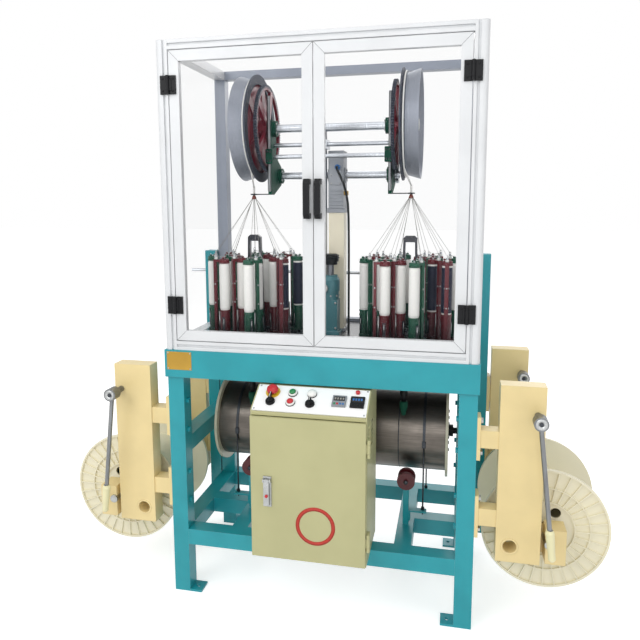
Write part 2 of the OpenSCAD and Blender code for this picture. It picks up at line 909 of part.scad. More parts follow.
module capstan_brackets() {
    end_r = 34;
    y1 = slow_y + 30;
    rod_d = 13;
    rod_y0 = -end_r - rod_d / 2 - seat;
    rod_z0 = 1500;
    rod_z1 = 1845;
    boss_d = 58;
    boss_t = 14;
    step = 70;
    bore_x = [bracket_x - bracket_t / 2 - 2 * boss_t, bracket_x + bracket_t];
    both() {
        color(GREEN)
            difference() {
                union() {
                    translate([bracket_x - bracket_t / 2, 0, 0])
                        rotate([90, 0, 90])
                            linear_extrude(bracket_t) {
                                polygon([[-end_r, bracket_z0], [0, bracket_z0], [y1, slow_z - end_r],
                                    [y1, slow_z + step / 2], [end_r, slow_z + step], [end_r, capstan_z],
                                    [-end_r, capstan_z]]);
                                translate([0, capstan_z])
                                    circle(r = end_r);
                            }
                    rod_x(boss_d, [bracket_x - bracket_t / 2 - boss_t, bracket_x], 0, capstan_z);
                    rod_x(boss_d, [bracket_x - bracket_t / 2 - boss_t, bracket_x], slow_y, slow_z);
                }
                rod_x(capstan_shaft_d + 2 * running, bore_x, 0, capstan_z);
                rod_x(slow_d + 2 * running, bore_x, slow_y, slow_z);
            }
        color(STEEL)
            rod_z(rod_d, bracket_x, rod_y0, [rod_z0, rod_z1]);
    }
}

module tie_bars() {
    x = bracket_x - bracket_t / 2;
    color(STEEL)
        for (t = [tie_front, tie_low])
            rod_x(tie_d, [-x, x], t[0], t[1]);
}

module braid_guides() {
    wire_d = 5;
    color(STEEL)
        both() {
            translate([head_x, 0, guide_z])
                rotate_extrude()
                    translate([ring_d / 2 + wire_d / 2, 0])
                        circle(d = wire_d, $fn = 8);
            rod_x(wire_d - 1, [bracket_x + bracket_t / 2, head_x - ring_d / 2 - wire_d / 2], 0, guide_z);
        }
}

// An inverted U that narrows upwards, with a deep top bar
module head_arches() {
    depth = 22;
    leg_t = 8;
    bar_h = 24;
    chamfer = 9;
    foot = arch_w / 2;
    top = arch_top_w / 2;
    half = [[foot, 0], [top, arch_h - chamfer], [top - chamfer, arch_h]];
    inner = [[top - leg_t, arch_h - bar_h], [foot - leg_t, 0]];
    left = [for (i = [len(half) - 1:-1:0]) [-half[i][0], half[i][1]]];
    left_inner = [for (i = [len(inner) - 1:-1:0]) [-inner[i][0], inner[i][1]]];
    for (side = SIDES)
        color("#20222E")
            translate([side * head_x, depth / 2, bed_z])
                rotate([90, 0, 0])
                    linear_extrude(depth)
                        polygon(concat(half, left, left_inner, inner));
}

// Sixteen strands of each head, from the carriers' eyelets to the guide ring
module strand(from, to) {
    d = to - from;
    translate(from)
        rotate([0, acos(d[2] / norm(d)), atan2(d[1], d[0])])
            cylinder(d = strand_d, h = norm(d), $fn = 16);
}

module strands() {
    color("white")
        for (side = SIDES) {
            for (i = [0:HORNS - 1])
                for (n = [0, 1]) {
                    c = carrier_axis(side, i, n);
                    a = horn_angle(side, i) + carrier_angle(n) + 90 * runs(i);
                    eye = c - (post_off - eyelet_d / 2) * [cos(a), sin(a)];
                    out = eye - [side * head_x, 0];
                    b = atan2(out[1], out[0]);
                    strand([eye[0], eye[1], eye_z + strand_lift],
                        [side * head_x + strand_knot_r * cos(b), strand_knot_r * sin(b), guide_z - 12]);
                }
            rod_z(2 * strand_knot_r - strand_d, side * head_x, 0, [guide_z - 14, guide_z + 30]);
        }
}

// Enclosure

// Section of a corner post: a rounded outer corner and a slot in each outer face
module post_section() {
    flat = post_s - corner_r;
    at = (flat - slot_w) / 2;
    difference() {
        union() {
            square([post_s, flat]);
            square([flat, post_s]);
            translate([flat, flat])
                circle(r = corner_r);
        }
        translate([post_s - slot_deep, at])
            square([slot_deep + 1, slot_w]);
        translate([at, post_s - slot_deep])
            square([slot_w, slot_deep + 1]);
    }
}

// Section of a rail, its slot in the face away from the origin
module rail_section(depth, h) {
    difference() {
        square([depth, h]);
        translate([depth - slot_deep, (h - slot_w) / 2])
            square([slot_deep + 1, slot_w]);
    }
}

module enclosure_frame() {
    x0 = enc_x - post_s;
    y0 = enc_y - post_s;
    top = enclosure_z - frame_rail_h;
    color(PALE) {
        four()
            translate([x0, y0, table_h])
                linear_extrude(enclosure_z - table_h)
                    post_section();
        for (z = [table_h, top]) {
            translate([x0 - seat, enc_y - post_s, z])
                rotate([90, 0, -90])
                    mirror([1, 0, 0])
                        linear_extrude(2 * x0 - 2 * seat)
                            rail_section(post_s, frame_rail_h);
            translate([x0 - seat, -enc_y + rail_d, z])
                rotate([90, 0, -90])
                    linear_extrude(2 * x0 - 2 * seat)
                        rail_section(rail_d, frame_rail_h);
        }
        both()
            for (rail = [[table_h, bed_t], [top, frame_rail_h]])
                translate([x0, y0 - seat, rail[0]])
                    rotate([90, 0, 0])
                        linear_extrude(2 * y0 - 2 * seat)
                            rail_section(post_s, rail[1]);
    }
    color(DARK)
        both()
            for (hz = hinge_z)
                hinge_frame_half(hz);
}

// The half of a door hinge that stays on the post: a leaf, two lugs and the pin
module hinge_frame_half(hz) {
    leaf_x0 = hinge_x + hinge_barrel_d / 2;
    leaf_y = [door_y0 - hinge_out + 2, door_y0 - seat];
    span([leaf_x0, hinge_x + hinge_leaf], leaf_y, [hz - hinge_h / 2, hz + hinge_h / 2]);
    for (s = SIDES) {
        lug = s > 0 ? [hz + hinge_h / 2 - hinge_lug_h, hz + hinge_h / 2]
            : [hz - hinge_h / 2, hz - hinge_h / 2 + hinge_lug_h];
        rod_z(hinge_barrel_d, hinge_x, hinge_y, lug);
        span([hinge_x, leaf_x0 - seat], [hinge_y, door_y0 - 2], lug);
    }
    rod_z(hinge_pin_d, hinge_x, hinge_y,
        [hz - hinge_h / 2 + hinge_lug_h + seat, hz + hinge_h / 2 - hinge_lug_h - seat]);
}

module hinge_door_half(hz) {
    play = 0.6;
    z = [hz - hinge_h / 2 + hinge_lug_h + play, hz + hinge_h / 2 - hinge_lug_h - play];
    leaf_y = [door_y0 - hinge_out + 2, door_y0 - seat];
    difference() {
        union() {
            span([hinge_x - hinge_leaf, hinge_x - hinge_barrel_d / 2], leaf_y,
                [hz - hinge_h / 2, hz + hinge_h / 2]);
            span([hinge_x - hinge_barrel_d, hinge_x], [hinge_y, door_y0 - 2], z);
            rod_z(hinge_barrel_d, hinge_x, hinge_y, z);
        }
        rod_z(hinge_pin_d + 2 * running, hinge_x, hinge_y, [z[0] - 1, z[1] + 1]);
    }
}

module side_panes() {
    color("#D8E4E8", 0.3)
        both()
            span([enc_x - post_s / 2 - pane_t / 2, enc_x - post_s / 2 + pane_t / 2],
                [-enc_y + post_s, enc_y - post_s], [bed_z, enclosure_z - frame_rail_h]);
}

// A bow handle with chamfered ends
module door_handle() {
    reach = 32;
    grip_w = 20;
    grip_t = 12;
    end_h = 18;
    chamfer = [9, 15];
    x0 = door_gap / 2 + 7;
    h = handle_h;
    translate([x0, door_y0 - seat, handle_z - h / 2])
        rotate([90, 0, 90])
            linear_extrude(grip_w)
                polygon([[0, 0], [chamfer[0] - reach, 0], [-reach, chamfer[1]], [-reach, h - chamfer[1]],
                    [chamfer[0] - reach, h], [0, h], [0, h - end_h], [grip_t - reach, h - end_h],
                    [grip_t - reach, end_h], [0, end_h]]);
}

// One mitred member of a door's frame, its outer edge from one corner to the other
module door_member(from, to) {
    along = unit(to - from);
    inward = [-along[1], along[0]];
    translate([0, door_y0 + door_t, 0])
        rotate([90, 0, 0])
            linear_extrude(door_t)
                polygon([from + seat * along, to - seat * along,
                    to - (stile_w + seat) * along + stile_w * inward,
                    from + (stile_w + seat) * along + stile_w * inward]);
}

module door() {
    x = [door_gap / 2, door_x1];
    z = [door_z0, door_z1];
    corners = [[x[0], z[0]], [x[1], z[0]], [x[1], z[1]], [x[0], z[1]]];
    inset = stile_w + seat;
    pane_y = door_y0 + (door_t - pane_t) / 2;
    color(PALE)
        for (i = [0:3])
            door_member(corners[i], corners[(i + 1) % 4]);
    color("#D8E4E8", 0.3)
        span([x[0] + inset, x[1] - inset], [pane_y, pane_y + pane_t], [z[0] + inset, z[1] - inset]);
    color(DARK) {
        door_handle();
        for (hz = hinge_z)
            hinge_door_half(hz);
    }
}

module left_door() {
    on_side(-1)
        door();
}

module right_door() {
    on_side(1)
        door();
}

// Control cabinet

module cabinet() {
    side = [[cab_y0, cab_z0], [cab_y1, cab_z0], [cab_y1, panel_back_z],
        [cab_y0 + panel_run, panel_back_z], [cab_y0, panel_front_z]];
    inner = cab_x - sheet_t;
    color(OLIVE) {
        both()
            translate([inner, 0, 0])
                rotate([90, 0, 90])
                    linear_extrude(sheet_t)
                        polygon(side);
        span([-inner, inner], [cab_y1 - sheet_t, cab_y1], [cab_z0, panel_back_z]);
        span([-inner, inner], [cab_y0, cab_y1 - sheet_t], [cab_z0, cab_z0 + sheet_t]);
        span([-inner, inner], [cab_y0 + panel_run + sheet_t * sin(panel_tilt) + seat, cab_y1 - sheet_t],
            [panel_back_z - sheet_t, panel_back_z]);
        for (hz = cab_hinge_z)
            cabinet_hinge_half(hz);
    }
}

// The half of a cabinet hinge on the shell: two lugs and the pin
module cabinet_hinge_half(hz) {
    lug_h = 14;
    for (z = [[hz - cab_hinge_h / 2, hz - cab_hinge_h / 2 + lug_h],
        [hz + cab_hinge_h / 2 - lug_h, hz + cab_hinge_h / 2]]) {
        rod_z(cab_hinge_barrel_d, cab_hinge_x + cab_hinge_pin_d / 2, cab_hinge_y, z);
        span([cab_x, cab_hinge_x + cab_hinge_pin_d], [cab_hinge_y, cab_y0 + 20], z);
    }
    rod_z(cab_hinge_pin_d, cab_hinge_x + cab_hinge_pin_d / 2, cab_hinge_y,
        [hz - cab_hinge_h / 2, hz + cab_hinge_h / 2]);
}

module cabinet_door() {
    gap = 0.5;
    lug_h = 14;
    play = 0.6;
    x = cab_hinge_x + cab_hinge_pin_d / 2;
    y = [cab_y0 - cabinet_door_t, cab_y0 - gap];
    color(OLIVE) {
        span([-cab_x + 1, cab_x - 2], y, [cab_z0 + 4, door_top - 2]);
        for (hz = cab_hinge_z) {
            z = [hz - cab_hinge_h / 2 + lug_h + play, hz + cab_hinge_h / 2 - lug_h - play];
            difference() {
                union() {
                    rod_z(cab_hinge_barrel_d, x, cab_hinge_y, z);
                    span([cab_x - 2, x], [cab_hinge_y - 2, cab_hinge_y + 2], z);
                }
                rod_z(cab_hinge_pin_d + 2 * running, x, cab_hinge_y, [z[0] - 1, z[1] + 1]);
            }
        }
    }
    color(STEEL)
        latch_plate();
}

// Plate with two ears that the latch handle turns in
latch_w = 28;
latch_t = 5;
latch_bar_w = 16;
latch_bar_t = 8;
latch_pin_d = 6;
latch_pin_out = 6;
latch_pin_drop = 12;
latch_pin_z = latch_z + latch_h / 2 - latch_pin_drop;
latch_y = cab_y0 - cabinet_door_t - latch_t;
latch_bar_y = latch_y - latch_pin_out - latch_bar_t / 2;

module latch_plate() {
    ear = 4;
    ear_r = 6;
    x = latch_w / 2;
    difference() {
        union() {
            span([latch_x - x, latch_x + x], [latch_y, latch_y + latch_t],
                [latch_z - latch_h / 2, latch_z + latch_h / 2]);
            for (x0 = [-x, x - ear])
                span([latch_x + x0, latch_x + x0 + ear], [latch_bar_y, latch_y],
                    [latch_pin_z - ear_r, latch_pin_z + ear_r]);
        }
        rod_x(latch_pin_d + 2 * running, [latch_x - latch_w, latch_x + latch_w],
            latch_y - latch_pin_out, latch_pin_z);
    }
}

module cabinet_latch() {
    x = latch_bar_w / 2;
    end_gap = 6;
    button_d = 11;
    button_t = 3;
    color(STEEL) {
        rod_x(latch_pin_d, [latch_x - latch_w / 2, latch_x + latch_w / 2],
            latch_y - latch_pin_out, latch_pin_z);
        span([latch_x - x, latch_x + x], [latch_bar_y, latch_bar_y + latch_bar_t],
            [latch_z - latch_h / 2 + end_gap, latch_pin_z + latch_bar_t / 2]);
    }
    color("#C2262E")
        rod_y(button_d, latch_x, [latch_bar_y - button_t, latch_bar_y], latch_z - latch_pin_drop);
}

module bezel(x, along) {
    panel_frame(x, along)
        difference() {
            cylinder(d = bezel_d, h = bezel_h);
            translate([0, 0, -1])
                cylinder(d = panel_hole_d + 1, h = bezel_h + 2);
        }
}

module panel_hole(x, along) {
    panel_frame(x, along)
        translate([0, 0, -3 * sheet_t])
            cylinder(d = panel_hole_d, h = 4 * sheet_t);
}

module control_panel() {
    inner = cab_x - sheet_t;
    lamp_h = 10;
    meter_h = 5;
    color("white")
        difference() {
            union() {
                panel_frame(-inner, 0)
                    translate([0, 0, -sheet_t])
                        cube([2 * inner, panel_len, sheet_t]);
                span([-inner, inner], [cab_y0, cab_y0 + sheet_t], [door_top, panel_front_z - sheet_t]);
            }
            for (x = columns)
                panel_hole(x, row_2);
            for (x = [columns[0], columns[1]])
                panel_hole(x, row_1);
        }
    color(STEEL) {
        for (x = columns)
            bezel(x, row_2);
        bezel(columns[1], row_1);
    }
    color("#E0B92E")
        panel_frame(columns[0], row_1)
            difference() {
                cylinder(d = stop_ring_d, h = bezel_h / 2);
                translate([0, 0, -1])
                    cylinder(d = panel_hole_d + 1, h = bezel_h);
            }
    color("white")
        panel_frame(columns[2], row_1)
            cylinder(d = bezel_d, h = lamp_h);
    color(DARK)
        for (x = meter_x)
            panel_frame(x - meter_s / 2, panel_len / 2 - meter_s / 2)
                cube([meter_s, meter_s, meter_h]);
}

module push_button(x, along) {
    panel_frame(x, along)
        translate([0, 0, -18])
            cylinder(d = button_d, h = 18 + button_rise);
}

module emergency_stop() {
    color("#C2262E") {
        push_button(columns[0], row_1);
        panel_frame(columns[0], row_1)
            translate([0, 0, button_rise])
                cylinder(d1 = mushroom_d, d2 = mushroom_d - 8, h = mushroom_h);
    }
}

module start_button() {
    color("#2E8B4F")
        push_button(columns[1], row_1);
}

module stop_button() {
    color("#C2262E")
        push_button(columns[1], row_2);
}

module power_switch() {
    grip_w = 7;
    grip_l = 34;
    grip_h = 14;
    color(DARK) {
        push_button(columns[0], row_2);
        panel_frame(columns[0], row_2)
            translate([-grip_w / 2, -grip_l / 2 + 6, button_rise])
                cube([grip_w, grip_l, grip_h]);
    }
}

module mode_switch() {
    grip_w = 8;
    grip_h = 10;
    color(DARK) {
        push_button(columns[2], row_2);
        panel_frame(columns[2], row_2)
            translate([-grip_w / 2, -button_d / 2 - 2, button_rise])
                cube([grip_w, button_d + 4, grip_h]);
    }
}

// Drum and guide rollers under the table

module takeup_drum() {
    color(PALE) {
        rod_x(drum_d, [-drum_half + drum_disc_t, drum_half - drum_disc_t], drum_y, drum_z);
        both()
            rod_x(drum_flange_d, [drum_half - drum_disc_t, drum_half], drum_y, drum_z);
    }
    color(DARK)
        both() {
            rod_x(collar_d, [drum_half, drum_half + collar_t], drum_y, drum_z);
            rod_x(axle_d, [drum_half + collar_t, leg_x0 + axle_end], drum_y, drum_z);
        }
}

module grooved_roller() {
    rotate_extrude()
        polygon([[guide_shaft_d / 2 + running, 0], [roller_d / 2, 0], [roller_d / 2, 3],
            [roller_d / 2 - roller_groove, roller_t / 2], [roller_d / 2, roller_t - 3],
            [roller_d / 2, roller_t], [guide_shaft_d / 2 + running, roller_t]]);
}

module guide_roller(side) {
    x = side * inner_rail_x;
    color("#5C1F22")
        for (y = [guide_y - guide_post_s / 2 - roller_gap, guide_y + guide_post_s / 2 + roller_gap + roller_t])
            translate([x, y, roller_z])
                rotate([90, 0, 0])
                    grooved_roller();
}

module left_guide_roller() {
    guide_roller(-1);
}

module right_guide_roller() {
    guide_roller(1);
}

// Pay-off stands

module stand_arm(y) {
    difference() {
        span([arm_x0, arm_x1], [y, y + arm_d], [arm_z0, arm_z1]);
        rod_y(pivot_d, pivot_x, [y - 1, y + arm_d + 1], pivot_z);
        rod_y(lever_pin_d + 2 * running, lever_x, [y - 1, y + arm_d + 1], lever_z);
    }
}

module stand_arms() {
    color(CREAM)
        both()
            for (k = [0, 1]) {
                y = arm_ys[k];
                base = k == 0 ? leg_x1 : upright_x;
                ym = k == 0 ? -leg_y : leg_y;
                stand_arm(y);
                for (z = stub_zs) {
                    span([base, base + plate_t], [ym - leg_s / 2, ym + leg_s / 2],
                        [z - plate_h / 2, z + plate_h / 2]);
                    span([base + plate_t, arm_x0], [y + 4, y + arm_d - 4], [z - stub_s / 2, z + stub_s / 2]);
                }
            }
}

module bracket_bolts() {
    color(STEEL)
        both()
            for (k = [0, 1]) {
                ym = k == 0 ? -leg_y : leg_y;
                heads = k == 0 ? [leg_x0 - bolt_head_t, leg_x1 + plate_t] : [leg_x0 - bolt_head_t];
                for (z = stub_zs)
                    for (s = SIDES)
                        for (x = heads)
                            translate([x, ym, z + s * bolt_off])
                                rotate([0, 90, 0])
                                    cylinder(d = bolt_head_d, h = bolt_head_t, $fn = 6);
            }
}

// A foot block beside the arm, a strap behind it and a bush in the arm's hole
module cradle_foot(y, strap_y) {
    x = [arm_x1 + foot_gap, arm_x1 + foot_gap + foot_w];
    strap_x0 = pivot_x - pivot_d / 2;
    difference() {
        union() {
            span(x, [y, y + arm_d], [foot_z0, foot_z1]);
            span([strap_x0, x[1]], strap_y, [foot_z0 + 6, foot_z1 - 12]);
            span(x, [min(strap_y[0], y), max(strap_y[1], y + arm_d)], [foot_z0, foot_z1]);
            rod_y(pivot_d - 2 * running, pivot_x, [min(strap_y[0], y), max(strap_y[1], y + arm_d)], pivot_z);
        }
        rod_y(pivot_d - 2 * boss_wall, pivot_x, [y - arm_d, y + 2 * arm_d], pivot_z);
        rod_y(spindle_d, spool_x, [y - arm_d, y + 2 * arm_d], spool_z);
    }
}

module cradle() {
    color(CREAM) {
        cradle_foot(front_arm_y,
            [front_arm_y + arm_d + strap_gap, front_arm_y + arm_d + strap_gap + strap_t]);
        cradle_foot(rear_arm_y, [rear_arm_y - strap_gap - strap_t, rear_arm_y - strap_gap]);
    }
    color(STEEL)
        rod_y(spindle_d, spool_x, [front_arm_y - spindle_end, rear_arm_y + arm_d + spindle_end], spool_z);
}

module left_cradle() {
    on_side(-1)
        cradle();
}

module right_cradle() {
    on_side(1)
        cradle();
}

// One ribbed flange, its inner face at z = 0 and its ribs upwards
module spool_flange() {
    r = spool_d / 2;
    difference() {
        union() {
            cylinder(r = r, h = flange_t);
            for (ring = [[r, rim_w], [mid_ring_d / 2, rib_w], [hub_disc_d / 2, rib_w]])
                translate([0, 0, flange_t])
                    difference() {
                        cylinder(r = ring[0], h = rib_h);
                        translate([0, 0, -1])
                            cylinder(r = ring[0] - ring[1], h = rib_h + 2);
                    }
            for (i = [0:rib_count - 1])
                rotate([0, 0, 360 / rib_count * i])
                    translate([hub_disc_d / 2 - 1, -rib_w / 2, flange_t - 1])
                        cube([r - hub_disc_d / 2 - rim_w + 2, rib_w, rib_h]);
            cylinder(d = spindle_d + 30, h = flange_t + rib_h);
        }
        for (i = [0:2])
            rotate([0, 0, 120 * i + 60])
                translate([drive_hole_r, 0, -1])
                    cylinder(d = drive_hole_d, h = flange_t + rib_h + 2);
        translate([0, 0, -1])
            cylinder(d = spindle_d + 2 * running, h = flange_t + rib_h + 2);
    }
}

module spool() {
    body = spool_w - 2 * (flange_t + rib_h);
    color("#F0E0B8")
        translate([spool_x, spool_y1 - flange_t - rib_h, spool_z])
            rotate([90, 0, 0]) {
                translate([0, 0, seat])
                    difference() {
                        cylinder(d = barrel_d, h = body - 2 * seat);
                        translate([0, 0, -1])
                            cylinder(d = barrel_d - 2 * barrel_wall, h = body + 2);
                    }
                translate([0, 0, body])
                    spool_flange();
                mirror([0, 0, 1])
                    spool_flange();
            }
}

module left_spool() {
    on_side(-1)
        spool();
}

module right_spool() {
    on_side(1)
        spool();
}

// A hand lever in front of an arm's front face
module lever(y, length) {
    rod_l = length - grip_l;
    hub_y = [y - lever_out - lever_hub_l, y - lever_out];
    mid_y = (hub_y[0] + hub_y[1]) / 2;
    color(STEEL) {
        rod_y(lever_pin_d, lever_x, [hub_y[1], y + arm_d], lever_z);
        rod_y(lever_hub_d, lever_x, hub_y, lever_z);
        translate([lever_x, mid_y, lever_z])
            rotate([0, 180 - lever_lean, 0])
                cylinder(d = lever_rod_d, h = rod_l + 4);
    }
    color("#EEE9B8")
        translate([lever_x, mid_y, lever_z])
            rotate([0, 180 - lever_lean, 0])
                translate([0, 0, rod_l])
                    rotate_extrude()
                        polygon([[lever_rod_d / 2, 0], [grip_d / 2 - 4, 0], [grip_d / 2, 10],
                            [grip_d / 2 - 3, grip_l * 0.7], [grip_d / 2 - 3, grip_l - 6],
                            [grip_d / 2 - 8, grip_l], [0, grip_l], [0, 4], [lever_rod_d / 2, 4]]);
}

module levers() {
    lever(front_arm_y, lever_l);
    lever(rear_arm_y, min(lever_l, lever_z - spool_z - spindle_d / 2 - lever_clear));
}

module left_levers() {
    on_side(-1)
        levers();
}

module right_levers() {
    on_side(1)
        levers();
}

for (s = [0, 1])
    for (i = [0:HORNS - 1])
        horn_unit(SIDES[s], i);
legs();
lower_rails();
rear_uprights();
apron();
gear_deck();
bed_plate();
drive_gear();
hand_wheel();
motor();
column();
gearbox();
gearbox_cable();
stand_post();
slow_shaft();
capstans();
capstan_brackets();
tie_bars();
braid_guides();
head_arches();
strands();
enclosure_frame();
side_panes();
left_door();
right_door();
cabinet();
cabinet_door();
cabinet_latch();
control_panel();
emergency_stop();
start_button();
stop_button();
power_switch();
mode_switch();
takeup_drum();
left_guide_roller();
right_guide_roller();
stand_arms();
bracket_bolts();
left_cradle();
right_cradle();
left_spool();
right_spool();
left_levers();
right_levers();
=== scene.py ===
# %% [markdown]
# # Dressing a two-head cable braiding machine
# A braiding machine plaits many threads round a core. This one has two heads of sixteen thread
# carriers on one table, and a pair of capstan wheels that pull the two cables up.
# The engineering model already holds every frame tube, gear and hinge at its real size. It could
# be modelled again by eye, but then no hinge would be where the drawing has it, so this lesson loads
# it as a fixed frame. What is left is the camera, the finishes, and the soft and small things that
# a drawing leaves out, such as thread, screws and buttons.

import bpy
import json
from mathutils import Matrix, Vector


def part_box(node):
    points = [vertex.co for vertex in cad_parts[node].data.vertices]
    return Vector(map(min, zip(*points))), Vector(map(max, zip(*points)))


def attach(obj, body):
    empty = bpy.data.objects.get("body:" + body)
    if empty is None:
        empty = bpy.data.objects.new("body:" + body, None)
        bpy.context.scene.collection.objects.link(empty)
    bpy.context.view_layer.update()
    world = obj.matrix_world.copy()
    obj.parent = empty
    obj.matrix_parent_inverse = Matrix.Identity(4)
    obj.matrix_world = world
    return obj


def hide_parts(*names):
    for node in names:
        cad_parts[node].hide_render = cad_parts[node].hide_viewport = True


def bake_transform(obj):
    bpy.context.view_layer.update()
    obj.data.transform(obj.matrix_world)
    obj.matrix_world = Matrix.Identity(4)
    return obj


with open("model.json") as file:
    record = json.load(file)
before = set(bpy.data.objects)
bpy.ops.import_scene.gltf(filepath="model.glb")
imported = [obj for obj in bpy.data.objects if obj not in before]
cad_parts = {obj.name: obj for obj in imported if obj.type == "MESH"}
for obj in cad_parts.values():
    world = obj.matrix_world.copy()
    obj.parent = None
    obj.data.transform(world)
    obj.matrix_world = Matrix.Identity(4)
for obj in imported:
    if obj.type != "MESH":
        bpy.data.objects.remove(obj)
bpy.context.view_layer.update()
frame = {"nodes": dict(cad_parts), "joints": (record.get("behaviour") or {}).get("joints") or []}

import json
import math

import bmesh
import bpy
from mathutils import Matrix, Vector

nodes = frame["nodes"]
joints = {joint["child"]: joint for joint in frame["joints"]}
HANDS = {"left": -1, "right": 1}

# %% [markdown]
# ## Camera
# The machine is seen from in front and a little from the right, at chest height, with the view
# turned slightly down. A camera could be moved by eye until the picture fits. Here the place, the
# lens and the three angles come from fitting the straight edges of the frame, because then every
# difference that is left belongs to a shape and not to the view.

# %% Camera
FRAME_PX, FOCAL_PX, CENTRE_PX = 640, 630.7, (312.0, 287.4)
CAMERA_AT, SENSOR_MM, FAR_CLIP = (0.4543, -2.344, 1.4585), 36.0, 100.0
YAW, PITCH, ROLL = (math.radians(angle) for angle in (12.672, -7.746, -0.277))


def put(name, data):
    """An object of some data, linked to the scene."""
    obj = bpy.data.objects.new(name, data)
    bpy.context.scene.collection.objects.link(obj)
    return obj


camera = put("camera", bpy.data.cameras.new("camera"))
camera.data.sensor_width = SENSOR_MM
camera.data.lens = FOCAL_PX / FRAME_PX * SENSOR_MM
camera.data.shift_x = (FRAME_PX / 2 - CENTRE_PX[0]) / FRAME_PX
camera.data.shift_y = (CENTRE_PX[1] - FRAME_PX / 2) / FRAME_PX
camera.data.clip_end = FAR_CLIP
look = Vector((-math.sin(YAW) * math.cos(PITCH), math.cos(YAW) * math.cos(PITCH), math.sin(PITCH)))
camera.matrix_world = (
    Matrix.Translation(CAMERA_AT)
    @ look.to_track_quat("-Z", "Y").to_matrix().to_4x4()
    @ Matrix.Rotation(ROLL, 4, "Z"))
bpy.context.scene.camera = camera
print("lens:", round(camera.data.lens, 2), "mm")

# %% [markdown]
# ## Colours and shader nodes
# A colour is easiest to name as the hex value that a screen shows, but a shader works in linear
# light, so one function turns the first into the second. Nodes could be wired with a call for each
# link. One small function that takes settings, values and links together is used instead, because
# a finish then reads like a recipe.

# %% Colour and node helpers
MIX_A, MIX_B, MIX_OUT = 6, 7, 2


def linear(code):
    """A hex colour such as 2EA3B0 as linear red, green, blue and alpha."""
    channels = [int(code[i : i + 2], 16) / 255 for i in (0, 2, 4)]
    return [c / 12.92 if c <= 0.04045 else ((c + 0.055) / 1.055) ** 2.4 for c in channels] + [1.0]


def darker(colour, share):
    """A colour with only a share of its light."""
    return [c * share for c in colour[:3]] + [1.0]


def per_mm(size):
    """The texture scale at which one feature is that many millimetres wide."""
    return 1000.0 / size


def add(tree, kind, inputs=None, **settings):
    """One node, with its settings, and its inputs given as values or as links."""
    node = tree.nodes.new(kind)
    for name, value in settings.items():
        setattr(node, name, value)
    for key, value in (inputs or {}).items():
        if isinstance(value, bpy.types.NodeSocket):
            tree.links.new(value, node.inputs[key])
        else:
            node.inputs[key].default_value = value
    return node


def start(name, **sockets):
    """A new material, its node tree, its shader and the place socket that patterns read."""
    material = bpy.data.materials.new(name)
    material.use_nodes = True
    tree = material.node_tree
    shader = tree.nodes["Principled BSDF"]
    for key, value in sockets.items():
        shader.inputs[key.replace("_", " ")].default_value = value
    return material, tree, shader, add(tree, "ShaderNodeTexCoord").outputs["Object"]


print("a mid grey of 808080 is", round(linear("808080")[0], 3), "in linear light")

# %% [markdown]
# ## Painted steel
# The table, arms, brackets and housings are sprayed enamel over steel. Such paint changes its tone
# slowly over a hand's width and has a faint orange-peel skin. Its arrises are paler, partly as rubbed
# paint and partly as painted highlight. A flat colour would look like plastic, and painted pictures
# would need unwrapping. Noise in the part's own millimetres is chosen, because it runs on over every
# corner. The peel is drawn at 4 mm, coarser than the real one, so that it still shows. The pale arrises
# are found where the rounded normal of a Bevel node leaves the flat one. The carriers also darken
# towards the bed, which is painted shade.

# %% Enamel recipe
PAINT_IOR, COAT_ROUGHNESS, EDGE_BREAKUP_MM = 1.5, 0.15, 12.0
ARRIS_PALER, PAINTED_BED_SHADE = 0.3, 0.3


